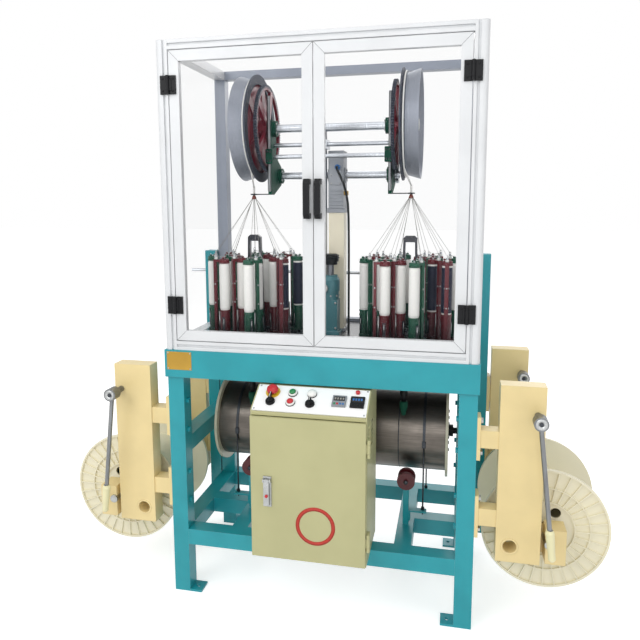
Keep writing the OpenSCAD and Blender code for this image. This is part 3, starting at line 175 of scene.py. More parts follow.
def enamel(
        name, colour, roughness, peel=0.05, patch_mm=140.0, peel_mm=4.0, edge_mm=2.0, shade=0.88,
        coat=0.12, oil_z=None, **sockets):
    """Sprayed paint: cloudy tone, arrises paled by wear and painted highlight, wiped gloss, peel, painted bed
    shade.
    """
    material, tree, shader, place = start(
        name, Roughness=roughness, IOR=PAINT_IOR, Coat_Weight=coat, Coat_Roughness=COAT_ROUGHNESS, **sockets)
    base = linear(colour)
    patches = add(tree, "ShaderNodeTexNoise", {"Vector": place, "Scale": per_mm(patch_mm), "Detail": 4.0})
    cloud = add(tree, "ShaderNodeMapRange", {"Value": patches.outputs["Fac"], 1: 0.35, 2: 0.6})
    tone = add(
        tree, "ShaderNodeMix", {"Factor": cloud.outputs[0], MIX_A: darker(base, shade), MIX_B: base},
        data_type="RGBA")
    # Paler arrises, part rubbed paint and part painted highlight, grow as the rounded normal leaves the flat one.
    arris = add(tree, "ShaderNodeBevel", {"Radius": edge_mm / 1000}, samples=4)
    flat = add(
        tree, "ShaderNodeVectorMath",
        {0: arris.outputs[0], 1: add(tree, "ShaderNodeNewGeometry").outputs["Normal"]}, operation="DOT_PRODUCT")
    arris_mask = add(tree, "ShaderNodeMapRange", {"Value": flat.outputs["Value"], 1: 0.98, 2: 0.85, 3: 0.0, 4: 0.5})
    edge_breakup = add(tree, "ShaderNodeTexNoise", {"Vector": place, "Scale": per_mm(EDGE_BREAKUP_MM), "Detail": 2.0})
    wear_and_highlight = add(tree, "ShaderNodeMath", {0: arris_mask.outputs[0], 1: edge_breakup.outputs["Fac"]}, operation="MULTIPLY")
    pale = [c + (1 - c) * ARRIS_PALER for c in base[:3]] + [1.0]
    final_tone = add(
        tree, "ShaderNodeMix", {"Factor": wear_and_highlight.outputs[0], MIX_A: tone.outputs[MIX_OUT], MIX_B: pale},
        data_type="RGBA")
    # Painted shade: the colour darkens towards the bed, below the given heights.
    if oil_z:
        height = add(tree, "ShaderNodeSeparateXYZ", {0: place}).outputs["Z"]
        full_tone = add(tree, "ShaderNodeMapRange", {"Value": height, 1: oil_z[0], 2: oil_z[1]})
        final_tone = add(
            tree, "ShaderNodeMix",
            {"Factor": full_tone.outputs[0], MIX_A: darker(base, PAINTED_BED_SHADE), MIX_B: final_tone.outputs[MIX_OUT]},
            data_type="RGBA")
    tree.links.new(final_tone.outputs[MIX_OUT], shader.inputs["Base Color"])
    # The clean patches are a little glossier, as where a cloth has wiped.
    wiped = add(
        tree, "ShaderNodeMapRange",
        {"Value": patches.outputs["Fac"], 1: 0.3, 2: 0.7, 3: roughness + 0.08, 4: roughness - 0.06})
    tree.links.new(wiped.outputs[0], shader.inputs["Roughness"])
    skin = add(tree, "ShaderNodeTexNoise", {"Vector": place, "Scale": per_mm(peel_mm), "Detail": 1.0})
    bump = add(
        tree, "ShaderNodeBump",
        {"Height": skin.outputs["Fac"], "Strength": peel, "Distance": 0.001, "Normal": arris.outputs[0]})
    tree.links.new(bump.outputs[0], shader.inputs["Normal"])
    return material


# Painted shade: the share of light that the enamel keeps at the bed.
print("share of light that oiled enamel keeps:", PAINTED_BED_SHADE)

# %% [markdown]
# The same recipe gives every painted thing, with other numbers. Gloss enamel has a low roughness.
# The cabinet's textured coat has a finer and deeper peel. Powder coat and anodising on aluminium are
# thinner skins with sharper arrises. Lacquered brass is the one that is metallic. One recipe could be
# written for each, but what differs between them is only a few values.

# %% Enamel colours
# Gloss machine enamel gives a full colour with a soft, clear highlight.
teal_enamel = enamel("teal_enamel_on_steel", "159AA6", 0.36)
cream_enamel = enamel("cream_enamel_on_steel", "EBD59B", 0.38, shade=0.93)
column_enamel = enamel("pale_cream_enamel_on_steel", "F2EAD2", 0.4, shade=0.93)
motor_enamel = enamel("grey_green_motor_enamel", "3F757D", 0.42)
hub_red = enamel("dark_red_hub_enamel", "7E1A30", 0.42)
panel_white = enamel("white_panel_enamel", "FDFDFC", 0.4, shade=0.98)
# On dark gloss the highlights alone tell the shape, and the bed shines with oil.
arch_enamel = enamel("navy_black_enamel", "20222E", 0.32, shade=0.8)
bed_black = enamel("oiled_black_bed", "24262C", 0.22, shade=0.7)
# Satin paint has almost no gloss, so the bracket plates read flat and dark.
green_enamel = enamel("dark_green_enamel", "0C4635", 0.55, coat=0.0, Specular_IOR_Level=0.15)
# A textured coat, and paint on a rough casting, have a sandy skin that breaks the highlight up.
olive_texture_coat = enamel("olive_texture_coat", "BAB788", 0.5, peel=0.12, peel_mm=3.0, shade=0.95)
gearbox_paint = enamel("grey_casting_paint", "A0A4AB", 0.5, peel=0.2, peel_mm=2.5)
# Carrier enamel has paler thin edges, part wear and part painted highlight, and painted shade near the bed.
BED_SHADE_Z = (0.965, 1.075)
carrier_coat = {"edge_mm": 1.0, "patch_mm": 40.0, "coat": 0.05, "oil_z": BED_SHADE_Z}
carrier_red = enamel("dark_red_carrier_enamel", "64121F", 0.4, **carrier_coat)
carrier_green = enamel("green_carrier_enamel", "0B533C", 0.4, **carrier_coat)
# Powder coat is chalky and even, anodising is silky, and lacquer lies clear over warm brass.
powder_white = enamel("white_powder_coat_on_aluminium", "DFE1E3", 0.36, peel=0.03, edge_mm=2.5, shade=0.95)
# The rear profile is anodised, and darker in part as painted shade at the back of the case.
anodised_and_shaded = enamel("anodised_profile_with_painted_shade", "8F96A4", 0.4, peel=0.02, edge_mm=1.5, shade=0.95)
brass_plate = enamel("lacquered_brass", "B8923F", 0.3, shade=0.85, Metallic=0.9)
print("materials in the file, with the model's own:", len(bpy.data.materials))

# %% [markdown]
# ## Drawn and plated steel
# Shafts, levers and bolts are bare steel. Drawing leaves fine streaks along the bar, and hands leave
# darker, duller patches. An anisotropic shader could give the streaks their gloss, but it needs a
# tangent on every mesh. Noise that is stretched along the bar shows the same lines on any shape.

# %% Drawn and plated steel
STAIN_MM, STREAK_BUMP, DULL_SHADE = 60.0, 0.06, 0.72
# Real streaks are 0.8 mm wide or less, and are drawn four times as coarse so that they show.
STREAK_MM, STREAK_COARSER = 0.8, 4
ROUND_GRAIN = (1.0, 1.0, 1.0)


def bare_metal(name, colour, roughness, stretch=(1.0, 1.0, 0.05)):
    """Bare metal with streaks; stretch says along which axis they run."""
    material, tree, shader, place = start(name, Metallic=1.0, Roughness=roughness)
    base = linear(colour)
    along = add(tree, "ShaderNodeMapping", {"Vector": place, "Scale": stretch})
    streaks = add(
        tree, "ShaderNodeTexNoise", {"Vector": along.outputs[0], "Scale": per_mm(STREAK_MM * STREAK_COARSER)})
    stain = add(tree, "ShaderNodeTexNoise", {"Vector": place, "Scale": per_mm(STAIN_MM), "Detail": 5.0})
    both = add(tree, "ShaderNodeMath", {0: streaks.outputs["Fac"], 1: stain.outputs["Fac"]}, operation="MULTIPLY")
    full_tone = add(tree, "ShaderNodeMapRange", {"Value": both.outputs[0], 1: 0.1, 2: 0.4})
    tone = add(
        tree, "ShaderNodeMix", {"Factor": full_tone.outputs[0], MIX_A: darker(base, DULL_SHADE), MIX_B: base},
        data_type="RGBA")
    tree.links.new(tone.outputs[MIX_OUT], shader.inputs["Base Color"])
    rough = add(
        tree, "ShaderNodeMapRange", {"Value": both.outputs[0], 1: 0.1, 2: 0.4, 3: roughness + 0.12, 4: roughness})
    tree.links.new(rough.outputs[0], shader.inputs["Roughness"])
    bump = add(
        tree, "ShaderNodeBump", {"Height": streaks.outputs["Fac"], "Strength": STREAK_BUMP, "Distance": 0.0005})
    tree.links.new(bump.outputs[0], shader.inputs["Normal"])
    return material


# Drawn bars shine along their length, handled levers are duller, and rolled sheet has lines along the drum.
drawn_steel = bare_metal("drawn_steel", "C6CAD0", 0.26)
lever_steel = bare_metal("dull_lever_steel", "8A8C8E", 0.36)
drum_steel = bare_metal("polished_drum_steel", "6E6862", 0.28, stretch=(0.05, 1.0, 1.0))
# Zinc plating is pale and even, while oiled and cut steel look dark and grey.
bolt_steel = bare_metal("zinc_plated_steel", "B9BBBB", 0.32, stretch=ROUND_GRAIN)
dark_steel = bare_metal("oiled_dark_steel", "4A4D52", 0.38, stretch=ROUND_GRAIN)
gear_steel = bare_metal("gear_steel", "7F8287", 0.4, stretch=ROUND_GRAIN)
print("materials with the steels:", len(bpy.data.materials))

# %% [markdown]
# ## Turned castings
# A capstan is a sand-cast aluminium wheel with a rim that was turned on a lathe. The skin keeps the
# grain of the sand, and the tool leaves rings about the axle. Rings could be cut as geometry, at the
# cost of many faces. A sine of the distance from the axle gives them as bump, and it stays true
# wherever the wheel stands.

# %% Turned castings
CAST_MM, GRIT_MM, RING_SHARE = 9.0, 4.0, 0.2
axle = Vector(joints["capstans"]["pos_m"])


def turned_metal(name, colour, roughness, ring_mm):
    """Cast metal with tool rings about the capstan axle."""
    material, tree, shader, place = start(name, Metallic=0.5, Roughness=roughness)
    off_axle = add(
        tree, "ShaderNodeMapping", {"Vector": place, "Location": [-c for c in axle], "Scale": (0.0, 1.0, 1.0)})
    radius = add(tree, "ShaderNodeVectorMath", {0: off_axle.outputs[0]}, operation="LENGTH")
    rings = add(
        tree, "ShaderNodeMath", {0: radius.outputs["Value"], 1: per_mm(ring_mm) * math.tau}, operation="MULTIPLY")
    wave = add(tree, "ShaderNodeMath", {0: rings.outputs[0]}, operation="SINE")
    cast = add(tree, "ShaderNodeTexNoise", {"Vector": place, "Scale": per_mm(CAST_MM), "Detail": 4.0})
    base = linear(colour)
    tone = add(
        tree, "ShaderNodeMix", {"Factor": cast.outputs["Fac"], MIX_A: darker(base, 0.7), MIX_B: base},
        data_type="RGBA")
    tree.links.new(tone.outputs[MIX_OUT], shader.inputs["Base Color"])
    grit = add(tree, "ShaderNodeTexNoise", {"Vector": place, "Scale": per_mm(GRIT_MM), "Detail": 3.0})
    relief = add(
        tree, "ShaderNodeMath", {0: wave.outputs[0], 1: RING_SHARE, 2: grit.outputs["Fac"]},
        operation="MULTIPLY_ADD")
    bump = add(tree, "ShaderNodeBump", {"Height": relief.outputs[0], "Strength": 0.5, "Distance": 0.0015})
    tree.links.new(bump.outputs[0], shader.inputs["Normal"])
    return material


# A turned rim is bright with fine rings, and the sand-cast face beside it is dull.
turned_aluminium = turned_metal("turned_aluminium", "969BA6", 0.5, ring_mm=3.0)
cast_aluminium = turned_metal("dull_cast_aluminium", "4A4E5B", 0.6, ring_mm=5.0)
print("capstan axle at:", [round(c, 4) for c in axle])

# %% [markdown]
# ## Moulded plastic and rubber
# Spools, buttons, handles and rollers are moulded. A moulding is smooth, with a faint grain from the
# mould and slightly soft edges, and its colour is even. So the recipe is a light cloud of tone, fine
# pits and a rounded normal. A clear coat is not needed, because the plastic itself is glossy.

# %% Moulded plastic
PLASTIC_IOR, MOULD_EDGE = 1.46, 0.001


def plastic(name, colour, roughness, grain_mm=1.5, grain=0.04, patch_mm=90.0, **sockets):
    """Moulded plastic with a faint grain and softened edges."""
    material, tree, shader, place = start(name, Roughness=roughness, IOR=PLASTIC_IOR, **sockets)
    base = linear(colour)
    cloud = add(tree, "ShaderNodeTexNoise", {"Vector": place, "Scale": per_mm(patch_mm), "Detail": 3.0})
    tone = add(
        tree, "ShaderNodeMix", {"Factor": cloud.outputs["Fac"], MIX_A: darker(base, 0.9), MIX_B: base},
        data_type="RGBA")
    tree.links.new(tone.outputs[MIX_OUT], shader.inputs["Base Color"])
    arris = add(tree, "ShaderNodeBevel", {"Radius": MOULD_EDGE}, samples=4)
    pits = add(tree, "ShaderNodeTexNoise", {"Vector": place, "Scale": per_mm(grain_mm)})
    bump = add(
        tree, "ShaderNodeBump",
        {"Height": pits.outputs["Fac"], "Strength": grain, "Distance": 0.0005, "Normal": arris.outputs[0]})
    tree.links.new(bump.outputs[0], shader.inputs["Normal"])
    return material


# Polystyrene and laminate are pale and even, with a soft gloss.
spool_plastic = plastic("cream_moulded_polystyrene", "F2ECD2", 0.4)
flange_plastic = plastic("ivory_flange_laminate", "D9D3BE", 0.3, grain_mm=8.0)
# Black nylon and rubber have a broad, weak highlight.
black_nylon = plastic("black_nylon", "101114", 0.4, Specular_IOR_Level=0.25)
cable_rubber = plastic("black_cable_rubber", "17181A", 0.6)
# Polished buttons and lamps have small, clear highlights on a full colour.
red_gloss = plastic("red_gloss_plastic", "C6262E", 0.2)
green_gloss = plastic("green_gloss_plastic", "23884E", 0.2)
white_lamp = plastic("milky_lamp_plastic", "F4F4F0", 0.25)
# Satin mouldings, which hands and cord rub, are a little duller.
yellow_plastic = plastic("yellow_plastic", "E4BC2C", 0.35)
blue_nylon = plastic("blue_nylon", "2C6FB5", 0.35)
roller_red = plastic("dark_red_roller_nylon", "56161D", 0.35)
grip_plastic = plastic("pale_yellow_grip_plastic", "EFE9BC", 0.35)
grey_plastic = plastic("grey_moulded_case", "8B9095", 0.4)
# A smoked window mirrors the room, brush paint is dull, and glazed ceramic shines.
window_black = plastic("smoked_display_window", "15191C", 0.12, grain=0.0)
red_paint = plastic("red_brush_paint", "C23A2E", 0.5)
bead_brown = plastic("red_brown_ceramic", "7A3A2C", 0.3)
print("materials with the plastics:", len(bpy.data.materials))

# %% [markdown]
# ## Clear sheet
# The doors and sides are clear acrylic. Almost all light goes straight through, and only the gloss
# shows. Real transmission would bend the light and darken the machine behind two sheets, so a thin
# see-through skin with a sharp highlight is used.

# %% Clear sheet
clear_acrylic, tree, shader, place = start("clear_acrylic", Roughness=0.04, IOR=1.49, Alpha=0.02)
shader.inputs["Base Color"].default_value = linear("5C6E74")
clear_acrylic.surface_render_method = "BLENDED"
print("clear sheet lets through", 1 - shader.inputs["Alpha"].default_value)

# %% [markdown]
# ## Thread
# Each bobbin is wound with fine polyester thread. A winding isn't one flat colour: its turns catch
# the light in bands. Modelling every turn would take thousands of loops, so the bands are a sine of
# the height. A turn is drawn at 2.2 mm, coarser than the real thread, so that it shows.

# %% Thread
TURN_MM, FLUFF_MM = 2.2, 6.0


def thread(name, colour, sheen=0.25):
    """Wound polyester thread with fine bands and a soft sheen."""
    material, tree, shader, place = start(name, Roughness=0.62, Sheen_Weight=sheen)
    height = add(tree, "ShaderNodeSeparateXYZ", {0: place}).outputs["Z"]
    turns = add(tree, "ShaderNodeMath", {0: height, 1: per_mm(TURN_MM) * math.tau}, operation="MULTIPLY")
    bands = add(tree, "ShaderNodeMath", {0: turns.outputs[0]}, operation="SINE")
    loose = add(tree, "ShaderNodeTexNoise", {"Vector": place, "Scale": per_mm(FLUFF_MM), "Detail": 3.0})
    mixed = add(
        tree, "ShaderNodeMath", {0: bands.outputs[0], 1: 0.25, 2: loose.outputs["Fac"]}, operation="MULTIPLY_ADD")
    base = linear(colour)
    tone = add(
        tree, "ShaderNodeMix", {"Factor": mixed.outputs[0], MIX_A: darker(base, 0.9), MIX_B: base},
        data_type="RGBA")
    tree.links.new(tone.outputs[MIX_OUT], shader.inputs["Base Color"])
    bump = add(tree, "ShaderNodeBump", {"Height": bands.outputs[0], "Strength": 0.2, "Distance": 0.0003})
    tree.links.new(bump.outputs[0], shader.inputs["Normal"])
    return material


# White thread glows in the light, navy thread takes it in, and a twisted strand lies between them.
white_thread = thread("white_polyester_thread", "FCFBF7")
navy_thread = thread("navy_polyester_thread", "101330", sheen=0.05)
grey_thread = thread("grey_twisted_strand", "8C8A85")
print("materials in all:", len(bpy.data.materials))

# %% [markdown]
# ## Finishes on the model's own parts
# A part of the model may hold several materials, as a door holds its frame, its sheet and a black
# handle. It could be cut into separate objects, but then the pieces would no longer be the drawing's
# own. Instead its mesh stays as it is, and each face picks its finish by where its middle lies.

# %% Finishes by place


def dress(name, base, *zones):
    """A finish for a node, and zones as pairs of a finish and a test of a face's centre."""
    mesh = nodes[name].data
    mesh.materials.clear()
    for finish in [base] + [zone[0] for zone in zones]:
        mesh.materials.append(finish)
    for face in mesh.polygons:
        face.material_index = next((i for i, zone in enumerate(zones, 1) if zone[1](face.center)), 0)


def off_axis(p, axis_point, across):
    """The distance of a point from a line along one axis, given the numbers of the other two axes."""
    return math.dist([p[i] for i in across], [axis_point[i] for i in across])


def off_axle(p):
    return off_axis(p, axle, (1, 2))


print("nodes to dress:", len(nodes))

# %% [markdown]
# The first group is the table, the heads and the take-off above them. Most of these have one finish.
# A painted rail may hold a bare pin, and a capstan has a red hub, cast gear teeth and a turned rim.
# Each of these lies at its own distance from an axle, so that distance is what is tested.

# %% Dress the table, heads and take-off
ROLLER_PIN = joints["right_guide_roller"]["pos_m"]
ROLLER_PIN_R, REAR_BAR, REAR_BAR_R, SHAFT_R = 0.0052, (0.0, 0.3041, 1.157), 0.00705, 0.0152
COLUMN_BARE_Z, GLAND_Y, KNOB_X, BRACKET_ROD_Y = (0.9671, 1.4159), 0.0345, 0.0431, -0.0341
WHEEL_INNER, WHEEL_STEP, GROOVE_X, RIM_R, TEETH_R = 0.2667, 0.2665, 0.284, 0.1625, 0.1495
for finish, names in (
        (teal_enamel, ("legs", "apron")), (gear_steel, ("gear_deck", "drive_gear")), (bed_black, ("bed_plate",)),
        (black_nylon, ("hand_wheel",)), (motor_enamel, ("motor",)), (arch_enamel, ("head_arches",)),
        (drawn_steel, ("stand_post", "slow_shaft", "tie_bars")), (dark_steel, ("braid_guides",))):
    for name in names:
        dress(name, finish)
dress(
    "lower_rails", teal_enamel,
    (drawn_steel, lambda p: off_axis((abs(p.x), p.y, p.z), ROLLER_PIN, (0, 2)) < ROLLER_PIN_R))
dress("rear_uprights", teal_enamel, (drawn_steel, lambda p: off_axis(p, REAR_BAR, (1, 2)) < REAR_BAR_R))
dress("column", column_enamel, (gearbox_paint, lambda p: p.z < COLUMN_BARE_Z[0] or p.z > COLUMN_BARE_Z[1]))
dress("gearbox", gearbox_paint, (blue_nylon, lambda p: p.y < GLAND_Y), (brass_plate, lambda p: p.x > KNOB_X))
dress("capstan_brackets", green_enamel, (lever_steel, lambda p: p.y < BRACKET_ROD_Y))
dress(
    "capstans", hub_red,
    (drawn_steel, lambda p: off_axle(p) < SHAFT_R),
    (cast_aluminium, lambda p: abs(p.x) < WHEEL_STEP and off_axle(p) > TEETH_R),
    (cast_aluminium, lambda p: WHEEL_STEP < abs(p.x) < GROOVE_X and off_axle(p) > RIM_R),
    (turned_aluminium, lambda p: abs(p.x) > WHEEL_INNER and off_axle(p) > RIM_R))
print("dressed so far:", sum(bool(node.data.materials) for node in nodes.values()))

# %% [markdown]
# The second group is the case: white profile with clear sheet in the doors, black hinges and handles
# that stand in front of the door's face, and darker anodised profile at the back, partly painted shade.
# The cabinet is coated sheet with a plated latch, and its sloped white panel carries the control
# devices. A test of the height above the sloped plane tells a device from the panel that it stands on.

# %% Dress the case, cabinet and panel
DOOR_FRONT, PANE_DEEP, PANE_HALF, REAR_Y = -0.297, 0.010, 0.0025, 0.245
CABINET_SKIN_Y, LATCH_KEY_Y = -0.4121, -0.4271
PANEL_RISE, PANEL_DEEP, PANEL_EDGE = 0.058, 0.100, Vector((0.0, -0.400, 0.770))
LIP_Z, LIP_Y, BACK_ROW_Z = 0.7665, -0.3955, 0.799
METERS_FROM_X, STOP_TO_X, LAMP_FROM_X = 0.06, -0.10, -0.03
TILT = math.atan2(PANEL_RISE, PANEL_DEEP)
PANEL_UP = Vector((0.0, -math.sin(TILT), math.cos(TILT)))


def on_front(p):
    return p.y < DOOR_FRONT - 0.00005


def above_panel(p):
    return (p - PANEL_EDGE).dot(PANEL_UP) > 0.0002


# Rear profile: anodised, and darker in part as painted shade at the back.
dress("enclosure_frame", powder_white, (black_nylon, on_front), (anodised_and_shaded, lambda p: p.y > REAR_Y))
dress("side_panes", clear_acrylic)
for side in HANDS:
    dress(
        f"{side}_door", powder_white,
        (clear_acrylic, lambda p: abs(p.y - DOOR_FRONT - PANE_DEEP) < PANE_HALF), (black_nylon, on_front))
dress("cabinet", olive_texture_coat)
dress("cabinet_door", olive_texture_coat, (bolt_steel, lambda p: p.y < CABINET_SKIN_Y))
dress("cabinet_latch", bolt_steel, (red_gloss, lambda p: p.y < LATCH_KEY_Y))
dress(
    "control_panel", panel_white,
    (olive_texture_coat, lambda p: p.z < LIP_Z and p.y < LIP_Y),
    (black_nylon, lambda p: above_panel(p) and p.x > METERS_FROM_X),
    (yellow_plastic, lambda p: above_panel(p) and p.x < STOP_TO_X and p.z > BACK_ROW_Z),
    (white_lamp, lambda p: above_panel(p) and p.x > LAMP_FROM_X and p.z > BACK_ROW_Z),
    (bolt_steel, above_panel))
for name, finish in (
        ("emergency_stop", red_gloss), ("start_button", green_gloss), ("stop_button", red_gloss),
        ("power_switch", black_nylon), ("mode_switch", black_nylon)):
    dress(name, finish)
print("panel slope:", round(math.degrees(TILT), 1), "degrees")

# %% [markdown]
# The third group is what lies low: the sheet-steel drum with its ivory flanges, the guide rollers, and
# the two pay-off stands with their cream arms, moulded spools and steel levers with pale grips.

# %% Dress the drum and stands
DRUM_END, DRUM_DISC, INNER_BOLT_X = 0.4531, 0.4429, 0.5
GRIP_TOP_FRONT, GRIP_TOP_BACK = 0.4262, 0.4888
dress(
    "takeup_drum", drum_steel,
    (black_nylon, lambda p: abs(p.x) > DRUM_END), (flange_plastic, lambda p: abs(p.x) > DRUM_DISC))
for side in HANDS:
    spindle = joints[f"{side}_spool"]["pos_m"]
    dress(f"{side}_guide_roller", roller_red)
    dress(f"{side}_cradle", cream_enamel, (drawn_steel, lambda p: off_axis(p, spindle, (0, 2)) < SHAFT_R))
    dress(f"{side}_spool", spool_plastic)
    dress(
        f"{side}_levers", lever_steel,
        (grip_plastic, lambda p: p.z < (GRIP_TOP_FRONT if p.y < 0 else GRIP_TOP_BACK)))
dress("stand_arms", cream_enamel)
dress("bracket_bolts", bolt_steel, (teal_enamel, lambda p: abs(p.x) < INNER_BOLT_X))
print("dressed so far:", sum(bool(node.data.materials) for node in nodes.values()))

# %% [markdown]
# ## Pieces
# New pieces are bmesh shapes. They could be built from Blender's own objects and joined, but a bmesh
# is quicker and needs no selection. Each shape is made where it belongs, in metres, and the finished
# mesh becomes one object at the origin that rides on a body of the model.

# %% Pieces
fresh = []


def piece(name, bm, body, *finishes, slot):
    """A bmesh as a finished object, which rides on a body if one is given."""
    mesh = bpy.data.meshes.new(name)
    bmesh.ops.recalc_face_normals(bm, faces=bm.faces)
    bm.to_mesh(mesh)
    bm.free()
    for finish in finishes:
        mesh.materials.append(finish)
    obj = put(name, mesh)
    if body:
        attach(obj, body)
    fresh.append(obj)
    return obj


def tell(what):
    """Print what a cell made, and begin to count anew."""
    print(f"{what}: {len(fresh)} pieces, {sum(len(obj.data.polygons) for obj in fresh)} faces")
    fresh.clear()


def faces_made(shape, *values):
    """How many faces a shape has, tried out on its own."""
    trial = bmesh.new()
    shape(trial, *values)
    count = len(trial.faces)
    trial.free()
    return count


# %% [markdown]
# ## Rods and blocks
# Pins, rods and nuts start from a cone with equal ends, and plates and cases start from a cube. Real
# edges are never quite sharp, so a block may have a small bevel. A Bevel modifier could do that too,
# but it would round every edge of a piece alike. Each shape gives its faces the number of a finish.

# %% Rods and blocks


def faces_of(verts):
    return list({face for v in verts for face in v.link_faces})


def rod(bm, start_at, end_at, radius, sides=16, index=0, smooth=True):
    """A closed round rod between two points; few sides and no smoothing make it a nut."""
    a, b = Vector(start_at), Vector(end_at)
    turn = (b - a).to_track_quat("Z", "Y").to_matrix().to_4x4()
    made = bmesh.ops.create_cone(
        bm, cap_ends=True, segments=sides, radius1=radius, radius2=radius, depth=(b - a).length,
        matrix=Matrix.Translation((a + b) / 2) @ turn)["verts"]
    for face in faces_of(made):
        face.smooth = smooth and len(face.verts) == 4
        face.material_index = index
    return made


def block(bm, low, high, bevel=0.0, index=0):
    """A box from corner to corner, its edges rounded by bevel."""
    low, high = Vector(low), Vector(high)
    size = Matrix.Diagonal((*(high - low), 1.0))
    made = bmesh.ops.create_cube(bm, size=1.0, matrix=Matrix.Translation((low + high) / 2) @ size)["verts"]
    for face in faces_of(made):
        face.material_index = index
    if bevel:
        edges = list({e for v in made for e in v.link_edges})
        made = bmesh.ops.bevel(
            bm, geom=edges, offset=bevel, offset_type="OFFSET", affect="EDGES", segments=2, profile=0.5,
            material=-1)["verts"]
    return made


print("a bevelled block has", faces_made(block, (0, 0, 0), (1, 1, 1), 0.1), "faces")

# %% [markdown]
# ## Turned shapes
# Rings, screw heads, bushes, buttons and rollers are all round, so they are made as on a lathe: an
# outline of radius and height is spun once about an axis. A cylinder with more and more edge loops
# could be shaped too, but an outline is easier to read and to correct. The spin is merged where it
# closes, and points on the axis are joined into one.

# %% Turned shapes
SAME_POINT = 0.00002


def spin_once(bm, verts, edges, centre, axis, steps, index):
    """A full turn of some edges; the new faces are smooth and have one finish."""
    before = set(bm.faces)
    bmesh.ops.spin(
        bm, geom=verts + edges, cent=centre, axis=axis, angle=math.tau, steps=steps, use_merge=True)
    made = set(bm.faces) - before
    for face in made:
        face.smooth = True
        face.material_index = index
    return made


def ring(bm, centre, axis, radius, wire, turns=32, sides=10, index=0):
    """A round wire ring, spun from a small circle about its axis."""
    centre, axis = Vector(centre), Vector(axis).normalized()
    side = axis.orthogonal().normalized()
    square_to = side.cross(axis).to_track_quat("Z", "Y").to_matrix().to_4x4()
    circle = bmesh.ops.create_circle(
        bm, segments=sides, radius=wire, matrix=Matrix.Translation(centre + side * radius) @ square_to)["verts"]
    spin_once(bm, circle, list({e for v in circle for e in v.link_edges}), centre, axis, turns, index)


def lathe(bm, centre, axis, outline, steps=32, index=0, closed=False):
    """A turned shape: an outline of radius and height, spun about an axis."""
    centre, axis = Vector(centre), Vector(axis).normalized()
    side = axis.orthogonal().normalized()
    verts = [bm.verts.new(centre + side * r + axis * h) for r, h in outline]
    pairs = list(zip(verts, verts[1:])) + ([(verts[-1], verts[0])] if closed else [])
    made = spin_once(bm, verts, [bm.edges.new(pair) for pair in pairs], centre, axis, steps, index)
    bmesh.ops.remove_doubles(bm, verts=list({v for face in made for v in face.verts}), dist=SAME_POINT)


def screws(bm, spots, out, radius, height, index=0, steps=12):
    """Domed screw heads at some spots of a face, all pointing outwards."""
    dome = [(0, 0), (radius, 0), (radius, height * 0.4), (radius * 0.72, height * 0.9), (0, height)]
    for spot in spots:
        lathe(bm, spot, out, dome, steps=steps, index=index)


def rows(xs, y, zs):
    """Spots in rows and columns on an upright face."""
    return [(x, y, z) for x in xs for z in zs]


def around(centre, radius, count, first=0.0):
    """Spots on a circle about a line along x."""
    angles = (first + math.tau * k / count for k in range(count))
    return [centre + radius * Vector((0, math.cos(a), math.sin(a))) for a in angles]


def washer(inner, outer, low, high):
    """The closed outline of a flat ring."""
    return [(inner, low), (outer, low), (outer, high), (inner, high)]


print("a screw head has", faces_made(screws, [(0, 0, 0)], (0, 0, 1), 0.004, 0.003), "faces")

# %% [markdown]
# ## The gearbox lead
# A black lead leaves the gearbox by a blue gland, loops forward and hangs down beside the column to
# the bed. A tube mesh could follow the same points, but a curve of one spline with a round bevel is
# all that a lead needs, and its length can be measured along its points.

# %% Gearbox lead
LEAD_ROUTE_MM = [
    (22, 20, 1586), (22, 6, 1586), (24, -8, 1583), (30, -18, 1572), (40, -20, 1552),
    (52, -14, 1524), (60, -2, 1490), (64, 12, 1450), (65, 22, 1400), (65, 27, 1340),
    (65, 30, 1280), (65, 31, 1220), (65, 31, 1160), (65, 31, 1100), (65, 31, 1040), (65, 31, 957)]
LEAD_D = 0.009
curve = bpy.data.curves.new("gearbox_lead", "CURVE")
curve.dimensions = "3D"
curve.bevel_depth = LEAD_D / 2
curve.bevel_resolution = 4
spline = curve.splines.new("POLY")
spline.points.add(len(LEAD_ROUTE_MM) - 1)
for point, place_mm in zip(spline.points, LEAD_ROUTE_MM):
    point.co = [c / 1000 for c in place_mm] + [1.0]
curve.materials.append(cable_rubber)
lead = put("gearbox_lead", curve)
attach(lead, "frame")
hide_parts("gearbox_cable")

# %% [markdown]
# ## Where the carriers stand
# Each horn gear carries two thread carriers, a red and a green one, and neighbouring gears turn
# opposite ways. The places could be typed in, thirty-two of them. They are worked out from the gears'
# own axles instead, so bobbins, eyelets and strands always meet the carrier that the model has.

# %% Where the carriers stand
HORNS, HORN_R, CARRIER_LEAD = 8, 0.0475, math.radians(45)
BOBBIN_OFF, POST_BACK, POST_MID, EYE_OFF = 0.010, -0.030, -0.025, -0.0205
BASE_Z, CASING_Z, BOBBIN_Z = 0.9598, 0.968, 1.058
BOBBIN_H, BOBBIN_R = 0.174, 0.0185
CAP_LOW, CAP_Z, EYE_Z = 1.238, 1.247, 1.263
HORN_GEARS = [(side, horn) for side in HANDS for horn in range(1, HORNS + 1)]
head_x = {
    side: sum(joints[f"{side}_horn_{i}"]["pos_m"][0] for i in range(1, HORNS + 1)) / HORNS for side in HANDS}


def carrier(side, horn, n):
    """The axis of a carrier, its way of travel and the middle of its bobbin, all at floor height."""
    gear = Vector(joints[f"{side}_horn_{horn}"]["pos_m"])
    a = math.atan2(gear.y, gear.x - head_x[side]) + CARRIER_LEAD + math.pi * n
    at = Vector((gear.x + HORN_R * math.cos(a), gear.y + HORN_R * math.sin(a), 0.0))
    a += math.pi / 2 * (-1 if horn % 2 else 1)
    way = Vector((math.cos(a), math.sin(a), 0.0))
    return at, way, at + BOBBIN_OFF * way


def lifted(p, z):
    return Vector((p.x, p.y, z))


